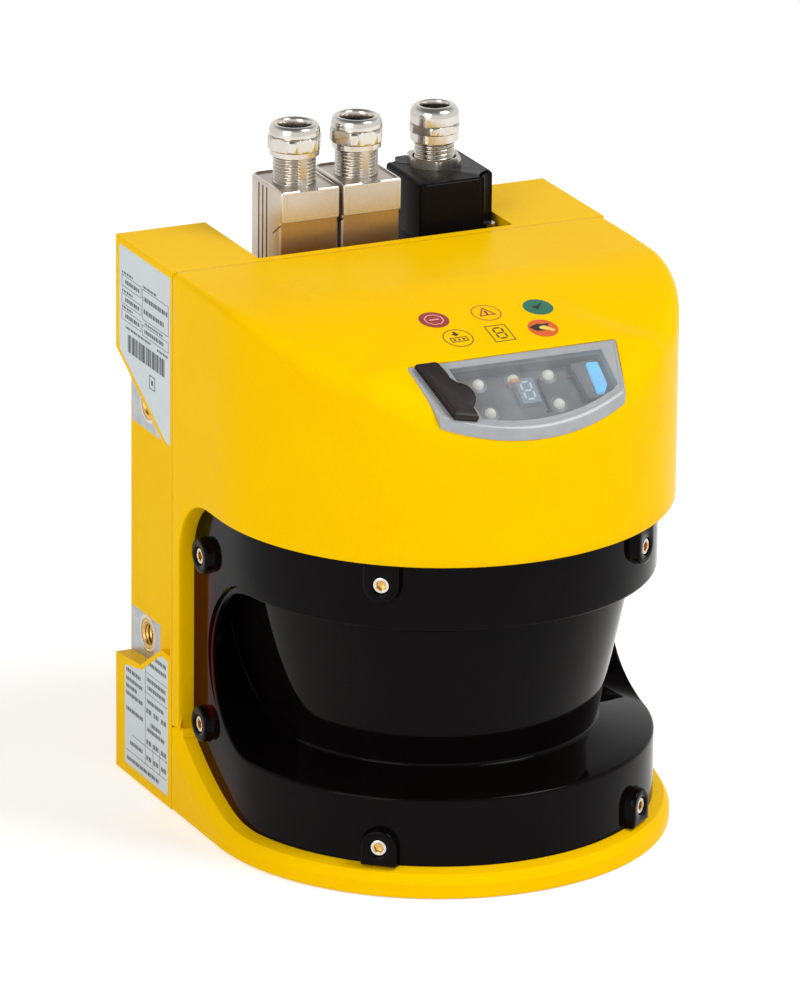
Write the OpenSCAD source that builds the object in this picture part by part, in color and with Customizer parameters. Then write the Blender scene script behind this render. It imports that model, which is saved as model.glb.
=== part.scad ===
// Safety laser scanner: a housing in two castings, a dark optics cover with a
// cone-shaped window band, a spinning mirror behind it, and three plugs in the
// recess at the back of the top.
// Frame: +X is the scanner's left-hand side seen from behind, the hood looks
// along -Y, and +Z is up. The origin is in the middle of the base.

/* [Housing] */
// Width of the housing
body_w = 155; // [146:1:186]
// Depth from the front of the hood to the rear mounting face
body_d = 160; // [150:1:192]
// Height of the housing without its plugs
body_h = 185; // [178:1:222]
// Depth of the rear casting behind the seam
rear_d = 46; // [42:1:56]
// Wall of both castings
wall = 3.5; // [2.8:0.1:4.4]
// Thickness of the seal in the seam between the castings
seam_t = 0.5; // [0.4:0.1:1.2]
// Step of the seal's edge behind the housing's outer face
seam_inset = 0.8; // [0.4:0.1:1.6]

/* [Hood] */
// Height of the hood's lower edge above the base
hood_edge_z = 112.5; // [111:0.5:120]
// Radius of the hood's rounded top, seen from the side
top_r = 125; // [110:1:160]
// Radius of the raised middle of the hood's top
band_r = 200; // [180:1:260]
// Where the raised middle starts to fall, from the middle of the base
band_start = 5; // [0:1:10]
// Half width of the raised middle at the display's upper edge
band_half = 37.8; // [34:0.1:42]
// How much the raised middle widens toward the back, in degrees
band_flare = 5.6; // [3:0.1:8]
// Fall of the surface beside the raised middle, in degrees
band_fall = 11; // [6:1:20]

/* [Base] */
// Height of the base's outer rim
lip_h = 5; // [4:0.5:8]
// Height of the base where the optics cover stands
base_h = 9; // [7:0.5:10]
// Thickness of the base's floor
floor_t = 5; // [4:0.5:6]
// Radius of the curve from the base up to the side strips
gusset_r = 81; // [70:1:95]
// Width of the side strips in front of the seam
strip_w = 5; // [4:0.5:9]
// Radius of the hood's corner over the side strips
arch_r = 22; // [16:1:24]

/* [Optics cover] */
// Step from the housing's outer face in to the cover's band
cover_inset = 5.5; // [4.5:0.1:6.5]
// Wall of the optics cover
cover_t = 3; // [2.4:0.1:3.4]
// Radius of the cone-shaped window at its upper edge
window_top_r = 64.4; // [60:0.1:66]
// Radius of the window at its lower edge
window_low_r = 54; // [50:0.1:56]
// Height where the window's cone begins
window_low_z = 49; // [44:0.5:54]
// Height of the flange's outer edge under the window
recess_low_z = 32; // [30:0.5:34]
// Height of the flange's inner edge at the foot of the window
groove_z = 36.4; // [35:0.1:40]
// Height of the upper band's lower edge
recess_top_z = 89; // [86:0.5:91]
// Centre of the window recess's round rear ends, behind the middle
recess_end_y = -15; // [-20:1:-10]
// Width of the cover's seal
cover_seal_t = 0.5; // [0.4:0.1:0.9]

/* [Cover screws] */
// Diameter of the round bosses round the cover screws
boss_d = 11.8; // [10:0.1:12.4]
// How far the bosses stand out from the cover
boss_out = 3; // [2:0.1:4]
// Diameter of the cover screws' heads
screw_head_d = 5.4; // [4.6:0.1:6.4]
// Hexagon key size of the cover screws
screw_key = 2.5; // [2:0.1:3]
// Angle of the front cover screws from straight ahead
screw_angle = 39; // [34:1:44]
// Height of the upper front screws
screw_high_z = 104.8; // [103:0.1:105.5]
// Height of the lower front screws
screw_low_z = 15.6; // [15.3:0.1:17]
// Height of the upper side screws
side_high_z = 93; // [91:0.5:96]
// Height of the lower side screws
side_low_z = 35; // [33:0.5:40]
// Distance of the side screws behind the middle
side_screw_y = 18.6; // [18:0.1:20.5]

/* [Display] */
// Slope of the display's face, in degrees
face_angle = 37; // [33:0.5:41]
// Distance of the display's upper edge in front of the middle
face_y = 55.6; // [53:0.1:58]
// Height of the display's upper edge
face_z = 175.6; // [172:0.1:212]
// Thickness of the display's pane
pane_t = 3; // [2.4:0.1:3.2]
// Width of the pane's lower edge
pane_low_w = 65.4; // [60:0.1:70]
// Height of the pane along its slope, without the round lower edge
pane_h = 25.4; // [22:0.1:28]

/* [Mirror] */
// Distance of the mirror's axis in front of the middle
axis_y = 13; // [10:0.5:15]
// Height of the scan plane
scan_z = 63; // [60:0.5:66]
// Radius of the mirror head
mirror_r = 27; // [24:0.5:29]
// Thickness of the mirror's glass
mirror_t = 2; // [1.5:0.1:3]
// Radius of the mirror's shaft
shaft_r = 3; // [2.5:0.1:4]

/* [Rear mounting] */
// Distance between the upper and lower side threads
mount_pitch = 80; // [70:1:90]
// Height of the lower side threads
mount_low_z = 50; // [48:0.5:54]
// Distance of the side threads in front of the rear face
mount_back = 14; // [13:0.5:18]
// Distance of the rear threads from the middle
rear_mount_x = 50; // [46:0.5:54]
// Depth of the mounting threads
mount_depth = 9; // [8:0.5:11]
// Diameter of the hole of the M8 threads
mount_bore = 6.8; // [6.6:0.1:7]
// Outer diameter of the thread inserts
insert_d = 10.4; // [9.6:0.1:11]
// Step of the side faces between the label blocks
side_inset = 5.5; // [4:0.5:6]

/* [Plugs] */
// Half width of the recess for the plugs
recess_half = 45.6; // [44:0.1:48]
// Height of the recess's floor
recess_floor_z = 137; // [134:1:142]
// Width of a fieldbus plug
bus_w = 21; // [19:0.5:21.5]
// Depth of a fieldbus plug
bus_d = 26; // [24:0.5:30]
// Gap between the two fieldbus plugs
bus_gap = 1.2; // [0.8:0.1:1.5]
// Middle of the left fieldbus plug
bus_x = -23.9; // [-25:0.1:-23]
// Height of the fieldbus plugs above the housing
bus_up = 18.5; // [14:0.5:24]
// Width of the system plug
system_w = 28.6; // [26:0.1:28.8]
// Depth of the system plug
system_d = 34; // [30:0.5:35]
// Height of the system plug above the housing
system_up = 15; // [12:0.5:20]
// Distance of the plugs' fronts behind the recess's front wall
plug_front = 7; // [6:0.5:7.5]
// Radius of the cable hole in the glands
cable_r = 5; // [4.4:0.1:5.4]

/* [Hidden] */
$fn = 96;
eps = 0.01;

half_w = body_w / 2;
front_y = -body_d / 2;
back_y = body_d / 2;
arc_y = front_y + half_w;
seam_y = back_y - rear_d;
rear_y = seam_y + seam_t;
strip_y = seam_y - strip_w;
cover_r = half_w - cover_inset;
cover_back_y = strip_y - 0.3;
flange_r = cover_r - cover_t - cover_seal_t;
recess_end_r = (recess_top_z - recess_low_z) / 2;
recess_mid_z = (recess_top_z + recess_low_z) / 2;
boss_r = cover_r + boss_out;
mirror_y = -axis_y;
recess_front_y = rear_y + wall - 0.5;
plug_y = recess_front_y + plug_front;
side_face_x = half_w - side_inset;

// rise of the gusset's curve over the base, and the crease of the hood's top
gusset_rise = 18;
crease_past = 13;
crease_lift = 0.5;
// gaps between the cover, its seal and the castings
cover_gap = 0.1;
cover_low_z = base_h + cover_gap;
cover_top_z = hood_edge_z - cover_gap;
flange_w = 5.5;
flange_in_r = flange_r - flange_w;
window_hole_gap = 0.6;
seat_gap = 0.05;

// cover screws
screw_thread_d = 3.4;
screw_head_h = 2.2;
screw_sink = 2.6;
screw_key_depth = 1.4;
screw_grip = boss_out + cover_t + 5;
screw_play = 0.2;

// heights at which the cover is sliced, clear of its side bosses and of the recess's roof and floor
slice_gap = 0.3;
window_low_slice_z = max(groove_z + 2, side_low_z + boss_d / 2 + slice_gap);
window_top_slice_z = min(recess_top_z - 2, side_high_z - boss_d / 2 - slice_gap);

// display: places on its face, heights under it
service_x = -24.3;
service_y = -15.6;
socket_r = 4.6;
socket_bore_r = 3.3;
socket_depth = 7;
contact_r = 0.5;
pane_reach = 12;
pane_play = 0.15;
pane_end = 1;
opening_outline = [[-18, -3.5], [31, -3.5], [31, -20], [-14, -20.5], [-18, -18]];
board_drop = 7.5;
board_t = 1.6;
board_l = 54;
board_w = 18;
board_left = -20;
board_top = -3;
lamp_places = [[-11.7, -6.5], [0.6, -6.5], [12.9, -6.5], [12.6, -17.8], [-11.6, -17.8]];
lamp_w = 3.2;
lamp_h = 1.2;
lamp_dome_r = 1.2;
lamp_dome_h = 2;
digit_size = [9.5, 6.4];
digit_place = [3, -12.4];
insert_size = [5.5, 12];
insert_place = [26.6, -10.5];
face_part_h = 3.8;
cap_t = 2.4;
cap_plate_t = 1.7;
cap_lap = 0.9;
cap_lift = 0.1;
cap_hinge = [[-10.3, 14.2], [-4.4, -7.4]];
cap_outline = [cap_hinge[0], [-3, 14.2], [-0.3, 6.7], [0, 0], [2.1, -9.6], cap_hinge[1]];

// mirror and its drive
chassis_floor = floor_t + seat_gap;
motor_z = 10;
motor_h = 24;
motor_top_z = motor_z + motor_h;
motor_r = 22;
motor_wall = 2;
stator_in_r = 12;
rotor_r = 11.6;
rotor_play = 1.2;
bearing_r = 8;
bearing_h = 4;
running_gap = 0.06;
disc_r = 26;
disc_t = 0.8;
disc_hub_r = 6;
disc_z = motor_top_z + 1.6;
head_z = motor_top_z + 5;
shaft_sink = 5;
sensor_w = 10;
sensor_l = 11;
arm_z = 92;
arm_t = 6;
arm_hole_r = 20;
chassis_w = 90;
foot_w = 64;
arm_w = 60;
arm_l = 60;
foot_l = 62;
rib_w = 6;
rib_x = 40;
rib_l = 12;
plate_y = 20;
plate_t = 6;
plate_h = 150;
tube_r = 23;
tube_in_r = 20.3;
tube_top_z = 131;
lens_in_r = 5.1;
collimator_r = 5;
collimator_in_r = 3;
collimator_h = 20;
laser_r = 7;
receiver_w = 56;
receiver_l = 52;
dust_board_w = 9;
dust_board_low_z = base_h + 9;
dust_board_high_z = hood_edge_z - 6;

// rear casting
column_x = 42;
column_y = back_y - 24;
ear_floor = 12;
mount_heights = [mount_low_z, mount_low_z + mount_pitch];
insert_floor = 1;
system_x = recess_half - 1 - system_w / 2;
bus_places = [bus_x, bus_x + bus_w + bus_gap];
bus_hole_w = 14;
system_hole_w = 20;
system_hole_d = 18;
label_t = 0.3;
housing_screw_d = 4;
housing_head_d = 7;
housing_head_h = 3.4;
housing_head_sink = 6;
housing_key = 3;
housing_screw_grip = 8;
housing_screw_x = half_w - 10.5;
housing_screw_places = [for (x = [-1, 1], z = [12, recess_floor_z - 16]) [x * housing_screw_x, z]];
board_edge = side_face_x - wall - 4;
board_gap = 6;
chip_w = 22;
chip_h = 2.4;
can_r = 5;
can_h = 9;

// plugs
bus_top_z = body_h + bus_up;
bus_low_z = recess_floor_z + 8;
socket_shoulder_h = 8;
bus_socket_w = 13.6;
bus_socket_h = 17.5;
bus_slot = [11.7, 8];
bus_head_h = 10.5;
bus_step = 1.3;
bus_rim = 1;
bus_groove_w = 1;
bus_groove_d = 1.2;
bus_bore_r = 6;
bus_axis_y = plug_y + bus_d / 2;
thread_pitch = 1.5;
thread_cut = 0.55;
gland_wall = 0.6;
seal_bore_r = 3.4;
seal_play = 0.5;
nut_play = 0.05;
bus_thread_r = 7.2;
bus_thread_sink = 0.6;
bus_nut_z = bus_top_z + 8.6;
bus_nut_h = 10.6;
bus_nut_across = 17;
nut_lap = 6;
system_top_z = body_h + system_up;
system_low_z = recess_floor_z + 6;
system_axis_y = plug_y + system_d / 2;
system_gland_y = plug_y + system_d * 0.62;
system_shell = 5;
system_roof = 3;
system_thread_r = 6.8;
system_thread_sink = 6;
system_nut_z = system_top_z + 8.4;
system_nut_h = 12;
system_nut_across = 16.4;
lock_nut_h = 3;
lock_nut_r = 9.1;
plug_screw_in = 3;
plug_screw_d = 2.6;
plug_screw_head_d = 4.6;
plug_screw_head_h = 2.4;
plug_screw_key = 2.3;
plug_screw_seat_z = body_h - 4;
notch_r = 4;
notch_in = 2.2;

yellow = [0.97, 0.76, 0.05];
dark = [0.10, 0.09, 0.09];
nickel = [0.80, 0.79, 0.76];
cover_dark = [0.13, 0.08, 0.08];
steel = [0.66, 0.66, 0.67];
brass = [0.78, 0.66, 0.36];
board_green = [0.10, 0.38, 0.22];

// ---------- shared shapes ----------

// The housing's outline from above: straight sides and a half-round front.
module d_plan(r, y_end) {
    intersection() {
        translate([0, arc_y]) circle(r, $fn = 180);
        translate([-r, arc_y - r]) square([2 * r, r + eps]);
    }
    translate([-r, arc_y]) square([2 * r, y_end - arc_y]);
}

// Stretches a shape that is drawn as seen from the side, (y, z), along X.
module along_x(x0, x1) {
    translate([x0, 0, 0]) rotate([90, 0, 90]) linear_extrude(height = x1 - x0) children();
}

// A ring or a disc with a flat top and bottom.
module ring(r_out, r_in, z0, z1) {
    translate([0, 0, z0]) difference() {
        cylinder(r = r_out, h = z1 - z0);
        translate([0, 0, -1]) cylinder(r = r_in, h = z1 - z0 + 2);
    }
}

module rounded_rect(w, d, r) {
    square([w - 2 * r, d], center = true);
    square([w, d - 2 * r], center = true);
    for (x = [-1, 1], y = [-1, 1]) translate([x * (w / 2 - r), y * (d / 2 - r)]) circle(r);
}

module block(x0, x1, y0, y1, z0, z1) {
    translate([x0, y0, z0]) cube([x1 - x0, y1 - y0, z1 - z0]);
}

// Mirrors a shape to the other side of the middle when the side is -1.
module on_side(s) {
    if (s > 0) children();
    else mirror([1, 0, 0]) children();
}

// Places a shape on the display's sloping face: its Y runs up the slope, its Z stands out.
module on_face() {
    translate([0, -face_y, face_z]) rotate([face_angle, 0, 0]) children();
}

// ---------- front casting ----------

// Side view of the hood's rounded top.
module hood_side(inset) {
    intersection() {
        translate([0, body_h - top_r]) circle(top_r - inset, $fn = 240);
        translate([-body_d, 0]) square([body_d + eps, body_h]);
    }
    square([seam_y + eps, body_h - inset]);
}

// Raised middle of the top with the sloping display face in front.
module hood_band() {
    face_run = 60;
    intersection() {
        along_x(-half_w, half_w) intersection() {
            translate([band_start, body_h - band_r]) circle(band_r, $fn = 240);
            translate([-face_y, face_z]) rotate(face_angle) translate([-face_run, -face_run])
                square([face_run * 2, face_run]);
            translate([front_y, hood_edge_z]) square([band_start - front_y, body_h]);
        }
        linear_extrude(height = body_h) d_plan(half_w, seam_y);
        hood_roof();
        mirror([1, 0, 0]) hood_roof();
    }
}

// Half of a low roof whose side falls away outside the raised middle.
module hood_roof() {
    reach = 120;
    drop = reach * tan(band_fall);
    crease_tilt = atan((body_h - face_z) / (face_y + band_start + crease_past));
    translate([band_half, -face_y, face_z]) rotate([crease_tilt, 0, -band_flare])
        translate([0, reach, 0]) rotate([90, 0, 0]) linear_extrude(height = 2 * reach)
            polygon([[-2 * reach, -reach], [-2 * reach, 2 * drop], [0, crease_lift],
                [reach, crease_lift - drop], [reach, -reach]]);
}

// Side view of the opening that the optics cover fills.
module cover_opening_side(low_z, back, low_cut) {
    gusset_y = strip_y - sqrt(pow(gusset_r, 2) - pow(gusset_r - low_cut, 2));
    difference() {
        translate([front_y - 1, low_z]) square([back - front_y + 1, hood_edge_z - low_z]);
        difference() {
            translate([gusset_y, low_z - 1]) square([back - gusset_y + 1, low_cut + 2]);
            translate([gusset_y, low_z + gusset_r]) circle(gusset_r, $fn = 240);
        }
        difference() {
            translate([back - arch_r, hood_edge_z - arch_r]) square(arch_r + 1);
            translate([back - arch_r, hood_edge_z - arch_r]) circle(arch_r);
        }
    }
}

module front_outer() {
    intersection() {
        linear_extrude(height = body_h) d_plan(half_w, seam_y);
        along_x(-half_w, half_w) hood_side(0);
    }
    hood_band();
}

// The base's sloping rim, which a cone and its straight sides cut off.
module lip_cut() {
    slope_w = cover_inset;
    slope_h = base_h - lip_h;
    translate([0, arc_y, 0]) rotate_extrude()
        polygon([[half_w + 1, lip_h - slope_h / slope_w], [half_w - slope_w, base_h],
            [half_w - slope_w, base_h + 1], [half_w + 1, base_h + 1]]);
}

module front_housing() color(yellow) difference() {
    union() {
        difference() {
            front_outer();
            along_x(-half_w - 1, half_w + 1) cover_opening_side(base_h, strip_y, gusset_rise);
            difference() {
                lip_cut();
                block(-half_w - 2, half_w + 2, arc_y, seam_y, 0, body_h);
            }
        }
        // inner flange that the cover and its seal rest on
        difference() {
            translate([0, 0, floor_t - eps]) linear_extrude(height = hood_edge_z - floor_t + 2 * eps)
                d_plan(flange_r, seam_y);
            along_x(-half_w, half_w) flange_window_side();
        }
    }
    // chamber behind the cover
    translate([0, 0, floor_t]) linear_extrude(height = hood_edge_z - floor_t + wall + 1)
        d_plan(flange_in_r, seam_y + 1);
    // inside of the hood
    intersection() {
        translate([0, 0, hood_edge_z + wall]) linear_extrude(height = body_h)
            d_plan(half_w - wall, seam_y + 1);
        union() {
            along_x(-half_w, half_w) intersection() {
                translate([0, body_h - top_r]) circle(top_r - wall, $fn = 240);
                translate([-body_d, 0]) square([body_d + eps, body_h]);
            }
            block(-half_w, half_w, 0, seam_y + 1, 0, body_h - wall);
        }
    }
    // seat of the display's pane and the opening behind it
    on_face() {
        translate([0, 0, -pane_t - seat_gap * 2]) linear_extrude(height = 20)
            pane_outline(pane_play, pane_reach);
        translate([0, 0, -20]) linear_extrude(height = 20) display_opening();
    }
    for (s = [-1, 1]) {
        for (z = [screw_high_z, screw_low_z]) front_screw_place(s, z)
            translate([0, 0, -screw_grip]) cylinder(d = screw_thread_d + screw_play, h = screw_grip);
        for (z = [side_high_z, side_low_z]) side_screw_place(s, z)
            translate([0, 0, -screw_grip]) cylinder(d = screw_thread_d + screw_play, h = screw_grip);
    }
    for (p = housing_screw_places) translate([p[0], seam_y - housing_screw_grip, p[1]])
        rotate([-90, 0, 0]) cylinder(d = housing_screw_d, h = housing_screw_grip + 1);
}

// Side view of the hole in the inner flange, clear of the cover's recess all round.
module flange_window_side() {
    hole_r = recess_end_r + cover_t + window_hole_gap;
    translate([recess_end_y, recess_mid_z]) circle(hole_r);
    translate([front_y, recess_mid_z - hole_r]) square([recess_end_y - front_y, 2 * hole_r]);
}

// ---------- optics cover ----------

// Section of the recess in front of the window: radius from the arc's centre, and height.
function recess_section(g) = [
    [half_w + 5, recess_low_z - 2 - g], [cover_r, recess_low_z - g], [window_low_r - 0.5 - g, groove_z - g],
    [window_low_r - g, window_low_z], [window_top_r - g, recess_top_z + g], [half_w + 5, recess_top_z + g]];

module window_recess(g) {
    intersection() {
        union() {
            translate([0, arc_y, 0]) rotate_extrude() polygon(recess_section(g));
            for (s = [-1, 1]) translate([0, arc_y, 0]) on_side(s) rotate([90, 0, 0])
                translate([0, 0, -body_d / 2]) linear_extrude(height = body_d / 2) polygon(recess_section(g));
        }
        along_x(-half_w - 6, half_w + 6) {
            translate([recess_end_y, recess_mid_z]) circle(recess_end_r + g);
            translate([front_y - 6, recess_low_z - 3 - g])
                square([recess_end_y - front_y + 6, recess_top_z - recess_low_z + 3 + 2 * g]);
        }
    }
}

// Side view of the cover's own outline, which follows the housing's opening.
module cover_side() {
    intersection() {
        cover_opening_side(base_h, strip_y, gusset_rise);
        translate([front_y, cover_low_z]) square([cover_back_y - front_y, cover_top_z - cover_low_z]);
        translate([-cover_gap * 2, 0]) cover_opening_side(base_h, strip_y, gusset_rise);
        translate([0, cover_gap * 2]) cover_opening_side(base_h, strip_y, gusset_rise);
    }
}

// The cover's one moulding, from which its three slices are cut.
module cover_moulding() difference() {
    intersection() {
        along_x(-half_w, half_w) cover_side();
        union() {
            difference() {
                linear_extrude(height = hood_edge_z) d_plan(cover_r, strip_y);
                window_recess(0);
            }
            for (s = [-1, 1]) {
                for (z = [screw_high_z, screw_low_z]) front_screw_place(s, z) boss();
                for (z = [side_high_z, side_low_z]) side_screw_place(s, z) boss();
            }
        }
    }
    difference() {
        linear_extrude(height = hood_edge_z) d_plan(cover_r - cover_t, strip_y + 1);
        window_recess(cover_t);
    }
    for (s = [-1, 1]) {
        for (z = [screw_high_z, screw_low_z]) front_screw_place(s, z) screw_hole();
        for (z = [side_high_z, side_low_z]) side_screw_place(s, z) screw_hole();
    }
}

// Slice of the cover between two heights; the three meet face to face.
module cover_slice(low_z, high_z) color(cover_dark) intersection() {
    cover_moulding();
    block(-half_w, half_w, front_y, strip_y, low_z, high_z);
}

module optics_cover_low() cover_slice(cover_low_z, window_low_slice_z);

module optics_window() cover_slice(window_low_slice_z, window_top_slice_z);

module optics_cover_high() cover_slice(window_top_slice_z, cover_top_z);

// A screw boss from the cover's band out to its round face.
module boss() {
    translate([0, 0, -boss_out - 1]) cylinder(d = boss_d, h = boss_out + 1);
}

module screw_hole() {
    translate([0, 0, -screw_sink]) cylinder(d = screw_head_d + 2.5 * screw_play, h = screw_sink + 1);
    translate([0, 0, -screw_grip]) cylinder(d = screw_thread_d + screw_play, h = screw_grip);
}

// Places along which a cover screw stands, with Z outward and its zero at the boss's face.
module front_screw_place(side, z) {
    translate([0, arc_y, z]) rotate([0, 0, side * screw_angle]) translate([0, -boss_r, 0])
        rotate([90, 0, 0]) children();
}

module side_screw_place(side, z) {
    translate([side * boss_r, side_screw_y, z]) rotate([0, side * 90, 0]) children();
}

module cover_screw() {
    difference() {
        union() {
            translate([0, 0, -screw_sink]) cylinder(d = screw_head_d, h = screw_head_h);
            translate([0, 0, -screw_grip + screw_play * 2])
                cylinder(d = screw_thread_d, h = screw_grip - screw_sink);
        }
        translate([0, 0, screw_head_h - screw_sink - screw_key_depth])
            cylinder(d = screw_key / cos(30), h = 2, $fn = 6);
    }
}

module cover_screws() color(nickel) for (s = [-1, 1]) {
    for (z = [screw_high_z, screw_low_z]) front_screw_place(s, z) cover_screw();
    for (z = [side_high_z, side_low_z]) side_screw_place(s, z) cover_screw();
}

// Flat seal between the cover's inner face and the housing's flange.
module optics_cover_seal() color([0.07, 0.07, 0.07]) difference() {
    intersection() {
        along_x(-half_w, half_w) cover_side();
        linear_extrude(height = hood_edge_z) difference() {
            d_plan(cover_r - cover_t - seat_gap, cover_back_y);
            d_plan(flange_r + seat_gap, strip_y + 1);
        }
    }
    along_x(-half_w, half_w) flange_window_side();
    for (s = [-1, 1]) {
        for (z = [screw_high_z, screw_low_z]) front_screw_place(s, z) screw_hole();
        for (z = [side_high_z, side_low_z]) side_screw_place(s, z) screw_hole();
    }
}

// ---------- display ----------

// Outline of the pane: a trapezium whose lower edge runs out at the hood's round front.
module pane_outline(grow, reach) {
    low_half = pane_low_w / 2;
    lean = (band_half - low_half) / pane_h;
    low_y = -pane_h - reach;
    low_x = low_half - lean * reach;
    top_x = band_half - pane_end + grow;
    end_x = low_x - pane_end + grow;
    polygon([[-top_x, grow - pane_end], [top_x, grow - pane_end], [end_x, low_y], [-end_x, low_y]]);
}

module display_opening() {
    polygon(opening_outline);
    translate([service_x, service_y]) circle(socket_r + seat_gap);
}

module display_pane() color([0.55, 0.57, 0.55, 0.6]) difference() {
    intersection() {
        on_face() translate([0, 0, -pane_t]) linear_extrude(height = pane_t) pane_outline(0, pane_reach);
        linear_extrude(height = body_h) d_plan(half_w, seam_y);
    }
    on_face() translate([service_x, service_y, -pane_t - 1])
        cylinder(r = socket_r + pane_play, h = pane_t + 2);
}

// Board under the pane, cut away round the service socket.
module display_board() color(board_green) on_face() translate([0, 0, -board_drop - board_t])
    linear_extrude(height = board_t) difference() {
        translate([board_left, board_top - board_w]) square([board_l, board_w]);
        translate([service_x, service_y]) circle(socket_r + 2 * pane_play);
    }

module status_lamps() color([0.95, 0.93, 0.80]) on_face() for (p = lamp_places)
    translate([p[0], p[1], -board_drop]) {
        translate([-lamp_w / 2, -lamp_w / 2, 0]) cube([lamp_w, lamp_w, lamp_h]);
        cylinder(r = lamp_dome_r, h = lamp_dome_h);
    }

module digit_display() color([0.88, 0.90, 0.93]) on_face()
    translate([digit_place[0], digit_place[1], -board_drop])
        linear_extrude(height = face_part_h) square(digit_size, center = true);

module display_insert() color([0.12, 0.30, 0.62]) on_face()
    translate([insert_place[0], insert_place[1], -board_drop])
        linear_extrude(height = face_part_h) square(insert_size, center = true);

module service_socket() color([0.16, 0.16, 0.17]) on_face() translate([service_x, service_y, 0]) {
    difference() {
        translate([0, 0, -board_drop - 3]) cylinder(r = socket_r, h = board_drop + 2.6);
        translate([0, 0, -socket_depth]) cylinder(r = socket_bore_r, h = socket_depth + 1);
    }
    for (a = [45 : 90 : 315]) rotate(a) translate([socket_bore_r / 2, 0, -socket_depth - eps])
        cylinder(r = contact_r, h = socket_depth - 3, $fn = 24);
}

// Flap over the service socket: a round bulge on a plate whose left edge is its hinge.
module service_cap() color([0.07, 0.07, 0.07]) on_face() translate([service_x, service_y, cap_lift]) {
    run = cap_hinge[1] - cap_hinge[0];
    cylinder(r = socket_r + cap_lap, h = cap_t);
    linear_extrude(height = cap_plate_t) polygon(cap_outline);
    translate([cap_hinge[0][0], cap_hinge[0][1], cap_plate_t / 2]) rotate([0, 0, atan2(run[1], run[0])])
        rotate([0, 90, 0]) cylinder(r = cap_plate_t / 2, h = norm(run));
}

// ---------- mirror and its drive ----------

module optics_chassis() color([0.45, 0.46, 0.48]) difference() {
    union() {
        block(-chassis_w / 2, chassis_w / 2, plate_y, plate_y + plate_t, chassis_floor, plate_h);
        block(-foot_w / 2, foot_w / 2, plate_y - foot_l, plate_y + eps, chassis_floor, motor_z);
        block(-arm_w / 2, arm_w / 2, plate_y - arm_l, plate_y + eps, arm_z, arm_z + arm_t);
        for (x = [-rib_x, rib_x])
            block(x - rib_w / 2, x + rib_w / 2, plate_y - rib_l, plate_y + eps, chassis_floor, arm_z + arm_t);
    }
    translate([0, mirror_y, 0]) {
        translate([0, 0, chassis_floor - 1]) cylinder(r = bearing_r, h = motor_z);
        translate([0, 0, arm_z - 1]) cylinder(r = arm_hole_r, h = arm_t + 2);
    }
}

module motor_case() color([0.32, 0.33, 0.35]) translate([0, mirror_y, 0]) difference() {
    translate([0, 0, motor_z]) cylinder(r = motor_r, h = motor_h);
    translate([0, 0, motor_z - 1]) cylinder(r = bearing_r + seat_gap, h = motor_h + 2);
    translate([0, 0, motor_z + bearing_h]) cylinder(r = motor_r - motor_wall, h = motor_h - 2 * bearing_h);
}

module motor_stator() color([0.72, 0.42, 0.22]) translate([0, mirror_y, 0])
    ring(motor_r - motor_wall - seat_gap, stator_in_r, motor_z + bearing_h + 1, motor_top_z - bearing_h - 1);

module motor_rotor() color([0.30, 0.30, 0.32]) translate([0, mirror_y, 0])
    ring(rotor_r, shaft_r, motor_z + bearing_h + rotor_play, motor_top_z - bearing_h - rotor_play);

module motor_shaft() color(steel) translate([0, mirror_y, motor_z + 0.5])
    cylinder(r = shaft_r, h = head_z + shaft_sink - motor_z);

module shaft_bearings() color(steel) translate([0, mirror_y, 0]) {
    ring(bearing_r, shaft_r + running_gap, motor_z, motor_z + bearing_h);
    ring(bearing_r, shaft_r + running_gap, motor_top_z - bearing_h, motor_top_z);
}

module encoder_disc() color([0.55, 0.58, 0.60]) translate([0, mirror_y, 0]) {
    ring(disc_r, shaft_r, disc_z, disc_z + disc_t);
    ring(disc_hub_r, shaft_r, disc_z - 1, head_z);
}

// Fork that reads the encoder's rim.
module encoder_sensor() color([0.10, 0.10, 0.11]) difference() {
    block(motor_r + seat_gap * 2, motor_r + sensor_l, mirror_y - sensor_w / 2, mirror_y + sensor_w / 2,
        motor_z, head_z - 0.5);
    block(motor_r - 1, disc_r + 1, mirror_y - sensor_w, mirror_y + sensor_w, disc_z - 1, disc_z + disc_t + 1);
}

// Space under the mirror's plane, which leans at 45 degrees through the scan plane.
module below_mirror(lift) {
    side = 200;
    translate([0, mirror_y, scan_z]) rotate([45, 0, 0]) translate([-side / 2, -side / 2, lift - side])
        cube(side);
}

module mirror_head() color([0.18, 0.18, 0.19]) {
    difference() {
        intersection() {
            translate([0, mirror_y, head_z]) cylinder(r = mirror_r, h = scan_z + mirror_r - head_z);
            below_mirror(-mirror_t);
        }
        translate([0, mirror_y, head_z - 1]) cylinder(r = shaft_r, h = shaft_sink + 1.5);
    }
}

module mirror_glass() color([0.80, 0.83, 0.86]) difference() {
    intersection() {
        translate([0, mirror_y, head_z]) cylinder(r = mirror_r, h = scan_z + mirror_r - head_z);
        below_mirror(0);
    }
    below_mirror(-mirror_t);
}

module optics_tube() color(dark) translate([0, mirror_y, 0])
    ring(tube_r, tube_in_r, arm_z + arm_t, tube_top_z);

module receiver_lens() color([0.70, 0.78, 0.82, 0.5]) translate([0, mirror_y, 0])
    ring(arm_hole_r, lens_in_r, arm_z + 0.5, arm_z + arm_t - 0.5);

module laser_collimator() color([0.25, 0.25, 0.27]) translate([0, mirror_y, 0])
    ring(collimator_r, collimator_in_r, arm_z + 0.2, arm_z + collimator_h);

module laser_module() color(brass) translate([0, mirror_y, arm_z + collimator_h])
    cylinder(r = laser_r, h = tube_top_z - arm_z - collimator_h);

module receiver_board() color(board_green)
    block(-receiver_w / 2, receiver_w / 2, mirror_y - receiver_l / 2, mirror_y + receiver_l / 2,
        tube_top_z, tube_top_z + board_t);

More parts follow.
